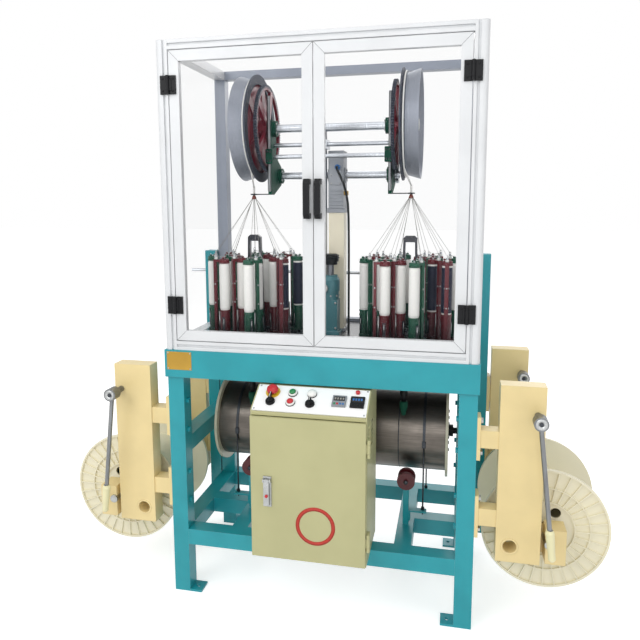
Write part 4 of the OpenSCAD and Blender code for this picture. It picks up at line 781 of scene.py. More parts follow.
def is_red(horn, n):
    return (horn + n) % 2 == 0


def is_navy(side, at):
    """Two bobbins at the right of each head hold dark thread."""
    a = math.degrees(math.atan2(at.y, at.x - head_x[side])) % 360
    return 320 < a < 336 or (a < 12 if side == "left" else 336 < a < 346)


print("heads at:", {side: round(x, 4) for side, x in head_x.items()})

# %% [markdown]
# ## Thread packages
# A bobbin's thread lies in slightly raised bands. A plain cylinder with bump would show a straight
# edge against the light. So the bands are in the outline that is spun about the bobbin's axis, and the
# edge of the package is lively from every side. The carriers' own faces get their paint here too.

# %% Thread packages
UP = (0, 0, 1)
BANDS, BAND_EDGE, BAND_SWELL = 29, 0.006, (0.0002, 0.0007)
PACKAGE_END, PACKAGE_TAPER, STUD_TOP_Z = 0.0045, 0.002, 0.925
band_step = (BOBBIN_H - 2 * BAND_EDGE) / (BANDS * 2)
package = [(BOBBIN_R + BAND_SWELL[i % 2], BAND_EDGE + band_step * i) for i in range(BANDS * 2 + 1)]
package.insert(0, (BOBBIN_R - PACKAGE_TAPER, PACKAGE_END))
package.append((BOBBIN_R - PACKAGE_TAPER, BOBBIN_H - PACKAGE_END))
for side, horn in HORN_GEARS:
    body = f"{side}_horn_{horn}"
    spots = [carrier(side, horn, n) for n in (0, 1)]

    def nearest(p):
        return min((0, 1), key=lambda n: off_axis(p, spots[n][0], (0, 1)))

    def in_bobbin(p):
        close = min(off_axis(p, bobbin, (0, 1)) for at, way, bobbin in spots) < BOBBIN_R + 0.0001
        return close and BOBBIN_Z + 0.00005 < p.z < BOBBIN_Z + BOBBIN_H + 0.0001

    dress(
        body, gear_steel,
        (drawn_steel, lambda p: STUD_TOP_Z < p.z < BASE_Z or p.z > CAP_Z + 0.0001),
        (white_thread, in_bobbin),
        (carrier_red, lambda p: p.z > BASE_Z and is_red(horn, nearest(p))),
        (carrier_green, lambda p: p.z > BASE_Z))
    bm = bmesh.new()
    for at, way, bobbin in spots:
        lathe(bm, lifted(bobbin, BOBBIN_Z), UP, package, steps=28, index=int(is_navy(side, bobbin)))
    piece(f"{body}_windings", bm, body, white_thread, navy_thread, slot="thread")
tell("thread packages")

# %% [markdown]
# ## The top of a carrier
# Over the bobbin lies a toothed disc that lets the thread off step by step, and above it a rounded cap
# with two small grooved rollers on pins. The teeth could be cut with a boolean. It is quicker to draw
# in every other corner of a disc of thirty-six sides. All carriers share one set of outlines.

# %% Carrier tops
CAP = [(0, 0), (0.0185, 0), (0.0178, 0.0016), (0.012, 0.003), (0, 0.0035)]
GROOVED = [(0.0017, 0), (0.0055, 0), (0.0042, 0.0025), (0.0055, 0.005), (0.0017, 0.005)]
RATCHET_R, RATCHET_Z, TOOTH_DEPTH = 0.0202, (BOBBIN_Z + BOBBIN_H + 0.0008, CAP_LOW - 0.0004), 0.09
GUIDE_OFF, GUIDE_R = 0.009, 0.0016


def carrier_top(bm, bobbin, across):
    teeth = rod(bm, lifted(bobbin, RATCHET_Z[0]), lifted(bobbin, RATCHET_Z[1]), RATCHET_R, 36, smooth=False)
    for v in teeth:
        out = lifted(v.co - bobbin, 0.0)
        if round(math.degrees(math.atan2(out.y, out.x)) / 10) % 2:
            v.co -= out * TOOTH_DEPTH
    lathe(bm, lifted(bobbin, CAP_Z), UP, CAP, steps=20)
    for s in (-1, 1):
        guide = bobbin + s * GUIDE_OFF * across
        rod(bm, lifted(guide, CAP_Z + 0.003), lifted(guide, CAP_Z + 0.013), GUIDE_R, 8, index=1)
        lathe(bm, lifted(guide, CAP_Z + 0.0045), UP, GROOVED, steps=12)


print("let-off disc from", round(RATCHET_Z[0], 4), "to", round(RATCHET_Z[1], 4), "m")

# %% [markdown]
# ## The casing of a carrier
# Below the bobbin is a round casing with three ribs, a catch, and a slot with a steel pin on each
# side. A slot could be cut into it, but the casing is the model's own and stays as it is. At this size
# a dark block that stands a hair proud reads the same: it is painted shade for the slot's opening.

# %% Carrier casings
CASING_RIBS_Z, RIB_R, RIB_WIRE = (0.984, 1.006, 1.028), 0.0181, 0.0012
CATCH, CATCH_OFF, CATCH_Z = [(0, 0), (0.007, 0), (0.007, 0.003), (0, 0.0042)], 0.0165, 1.040
SLOT_HALF, SLOT_OFF, SLOT_Z = Vector((0.0055, 0.0015, 0.0260)), 0.0172, 1.006
PIN_OFF, PIN_R, PIN_Z = 0.0184, 0.0014, (0.986, 1.026)


def carrier_casing(bm, bobbin, across):
    for z in CASING_RIBS_Z:
        ring(bm, lifted(bobbin, z), UP, RIB_R, RIB_WIRE, turns=20, sides=6)
    lathe(bm, lifted(bobbin + CATCH_OFF * across, CATCH_Z), across, CATCH, steps=14)
    for s in (-1, 1):
        # The dark block is painted shade where the slot's opening would be.
        made = block(bm, -SLOT_HALF, SLOT_HALF, 0.0007, index=3)
        turn = (s * across).to_track_quat("Y", "Z").to_matrix().to_4x4()
        middle = lifted(bobbin + s * SLOT_OFF * across, SLOT_Z)
        bmesh.ops.transform(bm, matrix=Matrix.Translation(middle) @ turn, verts=made)
        pin = bobbin + s * PIN_OFF * across
        rod(bm, lifted(pin, PIN_Z[0]), lifted(pin, PIN_Z[1]), PIN_R, 8, index=1)


print("casing slot:", round(SLOT_HALF.z * 2, 3), "m tall")

# %% [markdown]
# ## The post of a carrier
# Beside the bobbin stands a post with pale screws. It holds a spring rod below, and at its top a wire
# eyelet over a white guide, through which the thread leaves. The eyelet could be a flat washer, but
# bent wire is round, so it is a spun ring. Then all the carriers get their fittings, one piece each.

# %% Carrier posts
POST_SCREWS_Z, POST_HALF, SPRING_OFF, SPRING_R = (1.085, 1.155), 0.007, -0.012, 0.0035
EYE_GUIDE = [(0.0046, 0), (0.0075, 0), (0.0058, 0.003), (0.0075, 0.006), (0.0046, 0.006)]
EYE_UP, EYE_R, WIRE_R = 0.004, 0.0042, 0.0011


def carrier_post(bm, at, way, bobbin, across):
    sides = [(at + POST_BACK * way, -way)]
    sides += [(at + POST_MID * way + s * POST_HALF * across, s * across) for s in (-1, 1)]
    for spot, out in sides:
        screws(bm, [lifted(spot, z) for z in POST_SCREWS_Z], out, 0.0032, 0.002, index=1)
    spring, eye = at + SPRING_OFF * way, at + EYE_OFF * way
    rod(bm, lifted(spring, CASING_Z), lifted(spring, BOBBIN_Z - 0.006), SPRING_R, 10, index=1)
    ring(bm, lifted(eye, EYE_Z + EYE_UP), across, EYE_R, WIRE_R, turns=16, sides=6, index=1)
    lathe(bm, lifted(eye, CAP_Z + 0.002), UP, EYE_GUIDE, steps=14, index=2)
    rod(bm, lifted(eye, EYE_Z - 0.003), lifted(bobbin, EYE_Z - 0.009), WIRE_R, 6, index=1)


for side, horn in HORN_GEARS:
    for n in (0, 1):
        at, way, bobbin = carrier(side, horn, n)
        across = Vector((-way.y, way.x, 0.0))
        bm = bmesh.new()
        carrier_top(bm, bobbin, across)
        carrier_casing(bm, bobbin, across)
        carrier_post(bm, at, way, bobbin, across)
        coat = carrier_red if is_red(horn, n) else carrier_green
        piece(
            f"{side}_horn_{horn}_fittings_{n + 1}", bm, f"{side}_horn_{horn}", coat, bolt_steel, white_lamp,
            dark_steel, slot="carriers")
tell("carrier fittings")

# %% [markdown]
# ## Strands
# From each eyelet a strand runs up to the middle of the head. Its lower end turns with its carrier
# while its upper end stays at the braid. A rigid strand would tear off at one of them, so it rides on
# no body but is baked in place, and it has cuts along its length.

# %% Strands
KNOT_Z, KNOT_R, STRAND_R, STRAND_CUTS = 1.475, 0.0045, 0.0007, 20
for side, horn in HORN_GEARS:
    for n in (0, 1):
        at, way, bobbin = carrier(side, horn, n)
        eye = lifted(at + EYE_OFF * way, EYE_Z + EYE_UP)
        a = math.atan2(eye.y, eye.x - head_x[side])
        knot = Vector((head_x[side] + KNOT_R * math.cos(a), KNOT_R * math.sin(a), KNOT_Z))
        bm = bmesh.new()
        rod(bm, eye, knot, STRAND_R, 6)
        long_edges = [e for e in bm.edges if e.calc_length() > 0.05]
        bmesh.ops.subdivide_edges(bm, edges=long_edges, cuts=STRAND_CUTS, use_grid_fill=True)
        strand = piece(f"{side}_horn_{horn}_strand_{n + 1}", bm, None, grey_thread, slot="thread")
        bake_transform(strand)
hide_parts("strands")
tell("strands")

# %% [markdown]
# ## The finished braid
# Above the point where the strands meet, the braid is a round cord that runs through a ring and on
# to the capstan, where it lies in the groove. The plait could be modelled strand by strand. A tube
# with crossing ridges is enough at this size, and they are drawn coarser than the real plait so that
# they show. Where the cord meets the wheel follows from a tangent to the groove.

# %% Braid
BRAID_R, BRAID_LOW_Z, RING_Z, RIDGES, RIDGE_PITCH, RIDGE_H = 0.0038, 1.473, 1.517, 6, 1400, 0.0005
WRAP_R, WRAP_X = 0.1835, 0.2795
BEAD = [(0.004, 0.0), (0.0088, 0.001), (0.0092, 0.004), (0.0062, 0.013), (0.004, 0.016)]
for side, hand in HANDS.items():
    ring_at = Vector((head_x[side], 0.0, RING_Z))
    reach = math.acos(WRAP_R / (axle.z - RING_Z))
    meets = Vector((hand * WRAP_X, -WRAP_R * math.sin(reach), axle.z - WRAP_R * math.cos(reach)))
    bm = bmesh.new()
    rod(bm, lifted(ring_at, BRAID_LOW_Z), ring_at, BRAID_R, 24)
    tall = [e for e in bm.edges if abs(e.verts[0].co.z - e.verts[1].co.z) > 0.01]
    bmesh.ops.subdivide_edges(bm, edges=tall, cuts=23, use_grid_fill=True)
    for v in bm.verts:
        a = math.atan2(v.co.y, v.co.x - head_x[side])
        weave = math.sin(RIDGES * a + v.co.z * RIDGE_PITCH) * math.sin(RIDGES * a - v.co.z * RIDGE_PITCH)
        v.co += Vector((math.cos(a), math.sin(a), 0)) * RIDGE_H * weave
    rod(bm, ring_at - Vector((0, 0, 0.003)), meets, BRAID_R - 0.0008, 12)
    piece(f"{side}_braid", bm, "frame", white_thread, slot="thread")
    bm = bmesh.new()
    lathe(bm, lifted(ring_at, BRAID_LOW_Z - 0.005), UP, BEAD, steps=20, closed=True)
    piece(f"{side}_braid_bead", bm, "frame", bead_brown, slot="roller_red")
    bm = bmesh.new()
    ring(bm, (hand * WRAP_X, axle.y, axle.z), (1, 0, 0), WRAP_R + 0.001, 0.0028, turns=96, sides=8)
    piece(f"{side}_capstan_wrap", bm, "capstans", white_thread, slot="thread")
print("braid length to the capstan:", round((meets - ring_at).length, 3), "m")
tell("braids, beads and wraps")

# %% [markdown]
# ## Capstan nuts and webs
# Each capstan is held by a nut on its shaft, and a thin dished web closes the wheel between its spokes.
# The web could be a flat disc, but a cast one swells towards its middle ring, so its outline has a
# bend there. Both turn with the wheel, so both ride on its body.

# %% Capstan nuts and webs
NUT_X, NUT_R, WEB_IN = (0.3123, 0.3235), 0.0225, 0.0055
SHAFT_END = [(0, 0), (0.012, 0), (0.010, 0.002), (0, 0.003)]
WEB_RADII = (0.0345, 0.120, RIM_R + 0.0012)
WEB = list(zip(WEB_RADII, (0.0, 0.001, 0.0))) + list(zip(reversed(WEB_RADII), (0.003, 0.004, 0.003)))
nuts, webs = bmesh.new(), bmesh.new()
for hand in HANDS.values():
    rod(nuts, (hand * NUT_X[0], axle.y, axle.z), (hand * NUT_X[1], axle.y, axle.z), NUT_R, 6, smooth=False)
    lathe(nuts, (hand * (NUT_X[1] - 0.0002), axle.y, axle.z), (hand, 0, 0), SHAFT_END, steps=16)
    lathe(webs, (hand * (WHEEL_INNER + WEB_IN), axle.y, axle.z), (hand, 0, 0), WEB, steps=72, closed=True)
piece("capstan_nuts", nuts, "capstans", bolt_steel, slot="bare_steel")
piece("capstan_webs", webs, "capstans", hub_red, slot="capstan_metal")
tell("capstan nuts and webs")

# %% [markdown]
# ## Bracket screws and rod clamps
# The green bracket plates carry four screws round each bearing and a row of screws on their front
# edge. A small clamp holds the guide rod there. All the screws could be separate objects, but they
# never move apart from their plate, so they are one piece.

# %% Bracket screws and rod clamps
FRONTWARDS = (0, -1, 0)
BEARING_SCREW_R, PLATE_X = 0.0225, 0.204
EDGE_X, EDGE_Y, EDGE_ZS = 0.225, -0.034, (1.50, 1.60, 1.64, 1.70)
CLAMP_X, CLAMP_Y, CLAMP_Z = (0.207, 0.233), (-0.064, -0.0342), (1.598, 1.652)
CLAMP_INSET, CLAMP_SCREW_ZS = 0.007, (1.608, 1.642)
slow = Vector(joints["slow_shaft"]["pos_m"])
heads, clamps = bmesh.new(), bmesh.new()
for hand in HANDS.values():
    for centre in (axle, slow):
        bearing = Vector((hand * PLATE_X, centre.y, centre.z))
        screws(heads, around(bearing, BEARING_SCREW_R, 4, math.pi / 4), (-hand, 0, 0), 0.0045, 0.004)
    screws(heads, rows([hand * EDGE_X], EDGE_Y, EDGE_ZS), FRONTWARDS, 0.004, 0.003)
    low_x, high_x = sorted(hand * x for x in CLAMP_X)
    block(clamps, (low_x, CLAMP_Y[0], CLAMP_Z[0]), (high_x, CLAMP_Y[1], CLAMP_Z[1]), 0.003)
    corners = rows((low_x + CLAMP_INSET, high_x - CLAMP_INSET), CLAMP_Y[0], CLAMP_SCREW_ZS)
    screws(clamps, corners, FRONTWARDS, 0.0038, 0.003, index=1)
piece("bracket_screws", heads, "frame", bolt_steel, slot="bare_steel")
piece("rod_clamps", clamps, "frame", green_enamel, dark_steel, slot="green_paint")
tell("bracket screws and clamps")

# %% [markdown]
# ## Gearbox covers
# The worm gearbox has a screwed front cover, cooling ribs below it and a round cover at each end of
# the slow shaft. Ribs are plain bars with a small bevel, because a cast rib has no sharp edge. The
# round covers are spun, and their screws are set on a circle.

# %% Gearbox covers
GEARBOX_X, GEARBOX_FRONT, COVER_SCREW_R = (-0.015, 0.043), 0.0346, 0.023
LID_X, LID_Z, LID_T = (-0.009, 0.037), (1.520, 1.642), 0.0025
LID_SCREWS = (-0.003, 0.031), (1.526, 1.559, 1.636)
RIBS, RIB_X, RIB_LOW_Z, RIB_STEP, RIB_T = 5, (-0.013, 0.041), 1.444, 0.0135, 0.004
COVER = [(0.0160, 0.0001), (0.0300, 0.0001), (0.0300, 0.004), (0.0285, 0.0052), (0.0160, 0.0052)]
skin_y, lid_y = GEARBOX_FRONT - 0.0001, GEARBOX_FRONT - LID_T
bm = bmesh.new()
block(bm, (LID_X[0], lid_y, LID_Z[0]), (LID_X[1], skin_y, LID_Z[1]), 0.001)
screws(bm, rows(LID_SCREWS[0], lid_y, LID_SCREWS[1]), FRONTWARDS, 0.0034, 0.0026, index=1)
for k in range(RIBS):
    z = RIB_LOW_Z + RIB_STEP * k
    block(bm, (RIB_X[0], GEARBOX_FRONT - RIB_T, z), (RIB_X[1], skin_y, z + RIB_T), 0.001)
for x, out in zip(GEARBOX_X, (-1, 1)):
    lathe(bm, (x, slow.y, slow.z), (out, 0, 0), COVER, steps=40, closed=True)
    face = Vector((x + out * COVER[-1][1], slow.y, slow.z))
    screws(bm, around(face, COVER_SCREW_R, 6), (out, 0, 0), 0.003, 0.0026, index=1)
piece("gearbox_covers", bm, "frame", gearbox_paint, bolt_steel, slot="gearbox_paint")
tell("gearbox covers")

# %% [markdown]
# ## Speed dial and hand wheel
# The motor's speed changer has a white dial in a steel rim with a pointer, and screws on its foot and
# round its top flange. On the shaft above sits a black hand wheel with a thick rim and finger ribs.
# The wheel's height is read from the model, so that the rim sits on it whatever its size.

# %% Speed dial and hand wheel
DIAL, DIAL_R, FLANGE_Z, FLANGE_R = Vector((-0.020, -0.040, 1.135)), 0.0145, 1.1045, 0.032
DIAL_RIM = [(DIAL_R, 0), (0.0172, 0), (0.0172, 0.0022), (0.0158, 0.003), (DIAL_R, 0.0022)]
FOOT_SCREWS, FLANGE_SCREWS = ((-0.024, 0.024), -0.031, (0.982, 1.078)), 8
GRIP_R, GRIP_WIRE, FINGER_RIBS = 0.0305, 0.0038, 12
bm = bmesh.new()
lathe(bm, DIAL, FRONTWARDS, [(0, 0.0002), (DIAL_R, 0.0002), (DIAL_R, 0.0008), (0, 0.0008)], steps=28)
lathe(bm, DIAL, FRONTWARDS, DIAL_RIM, steps=28, index=1, closed=True)
screws(bm, [DIAL + Vector((0, -0.0008, 0))], FRONTWARDS, 0.0024, 0.0016, index=2)
rod(bm, DIAL + Vector((0, -0.0014, 0)), DIAL + Vector((0.006, -0.0014, 0.009)), 0.0006, 6, index=2)
screws(bm, rows(*FOOT_SCREWS), FRONTWARDS, 0.0045, 0.004, index=1)
for k in range(FLANGE_SCREWS):
    a = math.tau * k / FLANGE_SCREWS + 0.2
    out = Vector((math.cos(a), math.sin(a), 0.0))
    screws(bm, [lifted(FLANGE_R * out, FLANGE_Z)], out, 0.0035, 0.0025, index=1)
piece("motor_dial_and_screws", bm, "frame", white_lamp, bolt_steel, dark_steel, slot="bare_steel")
wheel_low, wheel_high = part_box("hand_wheel")
bm = bmesh.new()
ring(bm, (0, 0, (wheel_low.z + wheel_high.z) / 2 + 0.006), UP, GRIP_R, GRIP_WIRE, turns=40, sides=10)
for k in range(FINGER_RIBS):
    a = math.tau * k / FINGER_RIBS
    spot = Vector((GRIP_R * math.cos(a), GRIP_R * math.sin(a), wheel_high.z - 0.0075))
    rod(bm, spot, spot + Vector((0, 0, 0.004)), 0.0022, 8)
piece("hand_wheel_rim", bm, "main_drive", black_nylon, slot="black_plastic")
tell("dial and hand wheel rim")

# %% [markdown]
# ## A mitred border
# The clear sheet of a door is held by a raised bead with mitred corners. Four bars would do too, but
# they would overlap where they meet. So the bead starts as one upright face. An inset leaves a border
# with mitred corners, the middle is deleted, and an extrusion gives the border its depth.

# %% Mitred border


def border(bm, low, high, width, front, depth):
    """A flat mitred border in an upright plane, from an inset face that is then given depth."""
    middle = Vector(((low[0] + high[0]) / 2, front, (low[1] + high[1]) / 2))
    size = Matrix.Diagonal(((high[0] - low[0]) / 2, (high[1] - low[1]) / 2, 1.0, 1.0))
    upright = Matrix.Rotation(math.pi / 2, 4, "X")
    verts = bmesh.ops.create_grid(
        bm, x_segments=1, y_segments=1, size=1.0, matrix=Matrix.Translation(middle) @ upright @ size)["verts"]
    face = verts[0].link_faces[0]
    sides = bmesh.ops.inset_region(bm, faces=[face], thickness=width, use_even_offset=True)["faces"]
    bmesh.ops.delete(bm, geom=[face], context="FACES_ONLY")
    raised = bmesh.ops.extrude_face_region(bm, geom=sides)["geom"]
    moved = [v for v in raised if isinstance(v, bmesh.types.BMVert)]
    bmesh.ops.translate(bm, verts=moved, vec=(0.0, -depth, 0.0))


print("a border has", faces_made(border, (0, 0), (1, 1), 0.1, 0.0, 0.1), "faces")

# %% [markdown]
# ## Doors
# A door's frame is mitred white profile. The cuts of the mitres show as thin dark lines, which here
# are slim blocks that stand a fraction of a millimetre proud, turned by 45 degrees. The black hinges
# and handles get their screws: those on the door's leaf swing with it, and those on the frame stay.

# %% Door details
DOOR_X, DOOR_Z, STILE, BEAD_W, BEAD_H = (0.0015, 0.499), (0.971, 1.964), 0.036, 0.009, 0.0014
MITRE_HALF = Vector((STILE * 0.69, 0.0002, 0.0004))
HINGE_X, HINGE_ZS, HINGE_FACE_Y, HINGE_SCREW_X = 0.5005, (1.098, 1.851), -0.303, 0.018
HANDLE_X, HANDLE_Z, HANDLE_SCREW_Y, HANDLE_SCREW_Z = 0.0185, 1.4675, -0.3231, 0.056
hinge_screws_z = [z + dz for z in HINGE_ZS for dz in (-0.02, 0.02)]
handle_screws_z = [HANDLE_Z + dz for dz in (-HANDLE_SCREW_Z, HANDLE_SCREW_Z)]
bead_y = DOOR_FRONT - 0.0001
frame_screws = bmesh.new()
for side, hand in HANDS.items():
    bm = bmesh.new()
    low_x, high_x = sorted(hand * x for x in (DOOR_X[0] + STILE - BEAD_W, DOOR_X[1] - STILE + BEAD_W))
    border(
        bm, (low_x, DOOR_Z[0] + STILE - BEAD_W), (high_x, DOOR_Z[1] - STILE + BEAD_W), BEAD_W, bead_y, BEAD_H)
    for x, way in zip(DOOR_X, (1, -1)):
        for z, up in zip(DOOR_Z, (1, -1)):
            middle = Vector((hand * (x + way * STILE / 2), bead_y, z + up * STILE / 2))
            made = block(bm, -MITRE_HALF, MITRE_HALF, index=1)
            slope = Matrix.Rotation(-hand * way * up * math.pi / 4, 4, "Y")
            bmesh.ops.transform(bm, matrix=Matrix.Translation(middle) @ slope, verts=made)
    for mesh, x, index in ((bm, HINGE_X - HINGE_SCREW_X, 2), (frame_screws, HINGE_X + HINGE_SCREW_X, 0)):
        screws(mesh, rows([hand * x], HINGE_FACE_Y, hinge_screws_z), FRONTWARDS, 0.004, 0.0016, index=index)
    screws(bm, rows([hand * HANDLE_X], HANDLE_SCREW_Y, handle_screws_z), FRONTWARDS, 0.004, 0.0025, index=2)
    piece(f"{side}_door_beads", bm, f"{side}_door", powder_white, dark_steel, black_nylon, slot="white_profile")
piece("hinge_screws", frame_screws, "frame", black_nylon, slot="black_plastic")
tell("door beads, mitres and screws")

# %% [markdown]
# ## Collars on the control panel
# The panel carries common 22 mm devices in two rows. Each has a black ring on the panel and a white or
# black collar over it, and the back row ends in a milky lamp. Their outlines are turned about the
# panel's own normal, because the panel slopes: a shape turned about the vertical would lean.

# %% Panel collars
PANEL_ALONG = Vector((0.0, math.cos(TILT), math.sin(TILT)))
PANEL_LENGTH = math.hypot(PANEL_DEEP, PANEL_RISE)
BACK_ROW, FRONT_ROW = 0.71 * PANEL_LENGTH, 0.34 * PANEL_LENGTH
STOP_X, BUTTON_X, LAMP_X = -0.137, -0.067, 0.0
CORNER_X, CORNER_IN = 0.186, 0.006
FOOT_RING = [(0.0113, 0.0001), (0.0164, 0.0001), (0.0164, 0.0022), (0.0154, 0.0028), (0.0113, 0.0028)]
COLLAR = [(0.0113, 0.0028), (0.0154, 0.0028), (0.0154, 0.0076), (0.0142, 0.0094), (0.0113, 0.0094)]
LAMP = [(0.0112, 0.0028), (0.0154, 0.0028), (0.0154, 0.009), (0.0142, 0.0108), (0.009, 0.0132), (0, 0.0142)]


def on_panel(x, along):
    return PANEL_EDGE + Vector((x, 0, 0)) + along * PANEL_ALONG


bm = bmesh.new()
for x, row, collar in (
        (BUTTON_X, BACK_ROW, 1), (BUTTON_X, FRONT_ROW, 1), (STOP_X, FRONT_ROW, 0), (LAMP_X, FRONT_ROW, 0)):
    lathe(bm, on_panel(x, row), PANEL_UP, FOOT_RING, closed=True)
    lathe(bm, on_panel(x, row), PANEL_UP, COLLAR, index=collar, closed=True)
lathe(bm, on_panel(LAMP_X, BACK_ROW), PANEL_UP, FOOT_RING, closed=True)
lathe(bm, on_panel(LAMP_X, BACK_ROW), PANEL_UP, LAMP, index=1)
corners = [on_panel(x, along) for x in (-CORNER_X, CORNER_X) for along in (CORNER_IN, PANEL_LENGTH - CORNER_IN)]
screws(bm, corners, PANEL_UP, 0.0035, 0.0018, index=2)
piece("panel_collars", bm, "frame", black_nylon, white_lamp, bolt_steel, slot="panel_white")
tell("panel collars")

# %% [markdown]
# ## Buttons and switches
# The buttons have coloured domes, the emergency stop is a red mushroom on a white neck, and the turn
# switches have a pale line that shows where they point. Each of them moves, so each one is a piece of
# its own on the body of its joint. Their outlines are spun like the collars.

# %% Buttons and switches
DOME = [(0, 0.0108), (0.0109, 0.0108), (0.0104, 0.0126), (0.007, 0.0141), (0, 0.0147)]
MUSHROOM = [
    (0, 0.0105), (0.0193, 0.0107), (0.0201, 0.0125), (0.0199, 0.0165), (0.0184, 0.0212), (0.0150, 0.0247),
    (0.0080, 0.0263), (0, 0.0268)]
SWITCH = [(0, 0.0108), (0.0112, 0.0108), (0.0105, 0.0138), (0.0075, 0.0146), (0, 0.0146)]


def panel_block(bm, x, along, up, bevel, index):
    """A block on the sloped panel, from its spans across, along and above the panel."""
    made = block(bm, (x[0], along[0], up[0]), (x[1], along[1], up[1]), bevel, index)
    turn = Matrix.Translation(PANEL_EDGE) @ Matrix.Rotation(TILT, 4, "X")
    bmesh.ops.transform(bm, matrix=turn, verts=made)


for name, row, finish, slot in (
        ("start_button", BACK_ROW, green_gloss, "green_plastic"),
        ("stop_button", FRONT_ROW, red_gloss, "red_plastic")):
    bm = bmesh.new()
    lathe(bm, on_panel(BUTTON_X, row), PANEL_UP, DOME)
    piece(f"{name}_dome", bm, name, finish, slot=slot)
bm = bmesh.new()
lathe(bm, on_panel(STOP_X, BACK_ROW), PANEL_UP, MUSHROOM, steps=40)
lathe(bm, on_panel(STOP_X, BACK_ROW), PANEL_UP, washer(0.0108, 0.0138, 0.0072, 0.0103), index=1, closed=True)
piece("emergency_stop_mushroom", bm, "emergency_stop", red_gloss, white_lamp, slot="red_plastic")
for name, x, tip, top in (("power_switch", STOP_X, 0.0225, 0.0251), ("mode_switch", LAMP_X, 0.0122, 0.0211)):
    bm = bmesh.new()
    panel_block(
        bm, (x - 0.0008, x + 0.0008), (FRONT_ROW, FRONT_ROW + tip), (top - 0.0002, top + 0.0004), 0.0, 0)
    lathe(bm, on_panel(x, FRONT_ROW), PANEL_UP, SWITCH, index=1)
    piece(f"{name}_pointer", bm, name, white_lamp, black_nylon, slot="black_plastic")
tell("buttons and switches")

# %% [markdown]
# ## Instruments
# The two instruments are snap-in cases of 48 mm. The left one is grey with a dark window and coloured
# keys, the right one is black, and a small red lamp stands behind them. The windows show plain bars.
# Blocks with a small bevel are all that such cases need, and the panel's slope is put on each block.

# %% Instruments
METERS, HALF, MIDDLE = (0.097, 0.158), 0.0236, PANEL_LENGTH / 2
KEY_FINISHES = ((5, 6, 4, 4), (1, 1, 1, 1))
WINDOW_HALF, BAR_FROM, BAR_STEP, BAR_HALF = 0.019, 0.0135, 0.009, 0.0028
KEY_FROM, KEY_STEP, KEY_HALF = 0.0145, 0.0097, 0.0032
RED_LAMP = [(0, 0), (0.0075, 0), (0.0075, 0.006), (0.006, 0.008), (0, 0.0085)]
bm = bmesh.new()
for case, x in enumerate(METERS):
    panel_block(bm, (x - HALF, x + HALF), (MIDDLE - HALF, MIDDLE + HALF), (0.0002, 0.0068), 0.0012, case)
    panel_block(
        bm, (x - WINDOW_HALF, x + WINDOW_HALF), (MIDDLE - 0.001, MIDDLE + 0.018), (0.006, 0.0072), 0.0004, 2)
    for k, finish in enumerate(KEY_FINISHES[case]):
        bar, key = x - BAR_FROM + BAR_STEP * k, x - KEY_FROM + KEY_STEP * k
        bar_x, key_x = (bar - BAR_HALF, bar + BAR_HALF), (key - KEY_HALF, key + KEY_HALF)
        panel_block(bm, bar_x, (MIDDLE + 0.004, MIDDLE + 0.013), (0.0070, 0.0075), 0.0, 3 + case)
        panel_block(bm, key_x, (MIDDLE - 0.017, MIDDLE - 0.010), (0.006, 0.0082), 0.0008, finish)
lathe(bm, on_panel(METERS[1] - 0.004, PANEL_LENGTH - 0.014), PANEL_UP, RED_LAMP, steps=20, index=6)
piece(
    "panel_instruments", bm, "frame", grey_plastic, black_nylon, window_black, grey_thread, blue_nylon,
    green_gloss, red_gloss, slot="black_plastic")
tell("instruments")

# %% [markdown]
# ## Cabinet and apron
# A plain red ring is painted on the cabinet's door, the cabinet's right side has pressed louvres, and a
# bare brass plate is riveted to the apron. Paint could be a mask in the material. A ring a fraction of
# a millimetre thick is chosen, because it keeps a clean edge and moves with its door. A pressed louvre
# is a half-sunk rod with round ends.

# %% Cabinet and apron
RING_AT, RING_SPAN, RING_T = (0.027, -0.412, 0.383), (0.0545, 0.0675), (0.0001, 0.0005)
LOUVRES, LOUVRE_X, LOUVRE_R, LOUVRE_ENDS = 6, 0.1965, 0.0045, (-0.355, -0.275)
LOUVRE_LOW_Z, LOUVRE_STEP = 0.640, 0.016
PLATE_LOW, PLATE_HIGH = (-0.541, -0.3014, 0.863), (-0.447, -0.3001, 0.929)
RIVETS, LATCH_SCREWS = ((-0.536, -0.452), -0.3014, (0.868, 0.924)), ((-0.147, -0.127), -0.417, (0.446, 0.540))
bm = bmesh.new()
lathe(bm, RING_AT, FRONTWARDS, washer(*RING_SPAN, *RING_T), steps=64, closed=True)
piece("cabinet_red_ring", bm, "cabinet_door", red_paint, slot="red_plastic")
bm = bmesh.new()
for k in range(LOUVRES):
    ends = [(LOUVRE_X, y, LOUVRE_LOW_Z + LOUVRE_STEP * k) for y in LOUVRE_ENDS]
    rod(bm, *ends, LOUVRE_R, 12)
    for end in ends:
        bmesh.ops.create_uvsphere(
            bm, u_segments=12, v_segments=8, radius=LOUVRE_R, matrix=Matrix.Translation(end))
piece("cabinet_louvres", bm, "frame", olive_texture_coat, slot="olive_paint")
bm = bmesh.new()
block(bm, PLATE_LOW, PLATE_HIGH, 0.0006)
screws(bm, rows(*RIVETS), FRONTWARDS, 0.0026, 0.0014, index=1)
piece("bare_brass_plate", bm, "frame", brass_plate, bolt_steel, slot="bare_steel")
bm = bmesh.new()
screws(bm, rows(*LATCH_SCREWS), FRONTWARDS, 0.0028, 0.0012)
piece("latch_screws", bm, "cabinet_door", bolt_steel, slot="bare_steel")
tell("ring, louvres, plate and screws")

# %% [markdown]
# ## Stands and rollers
# Each pay-off stand has a capped lever hub in front and behind, a bush round the cradle's pivot, turned
# spindle ends and dark rings in the spool's hub. The guide rollers hang on screws. All of these are
# round and sit on an axle, so they take their centre from the joint that turns there.

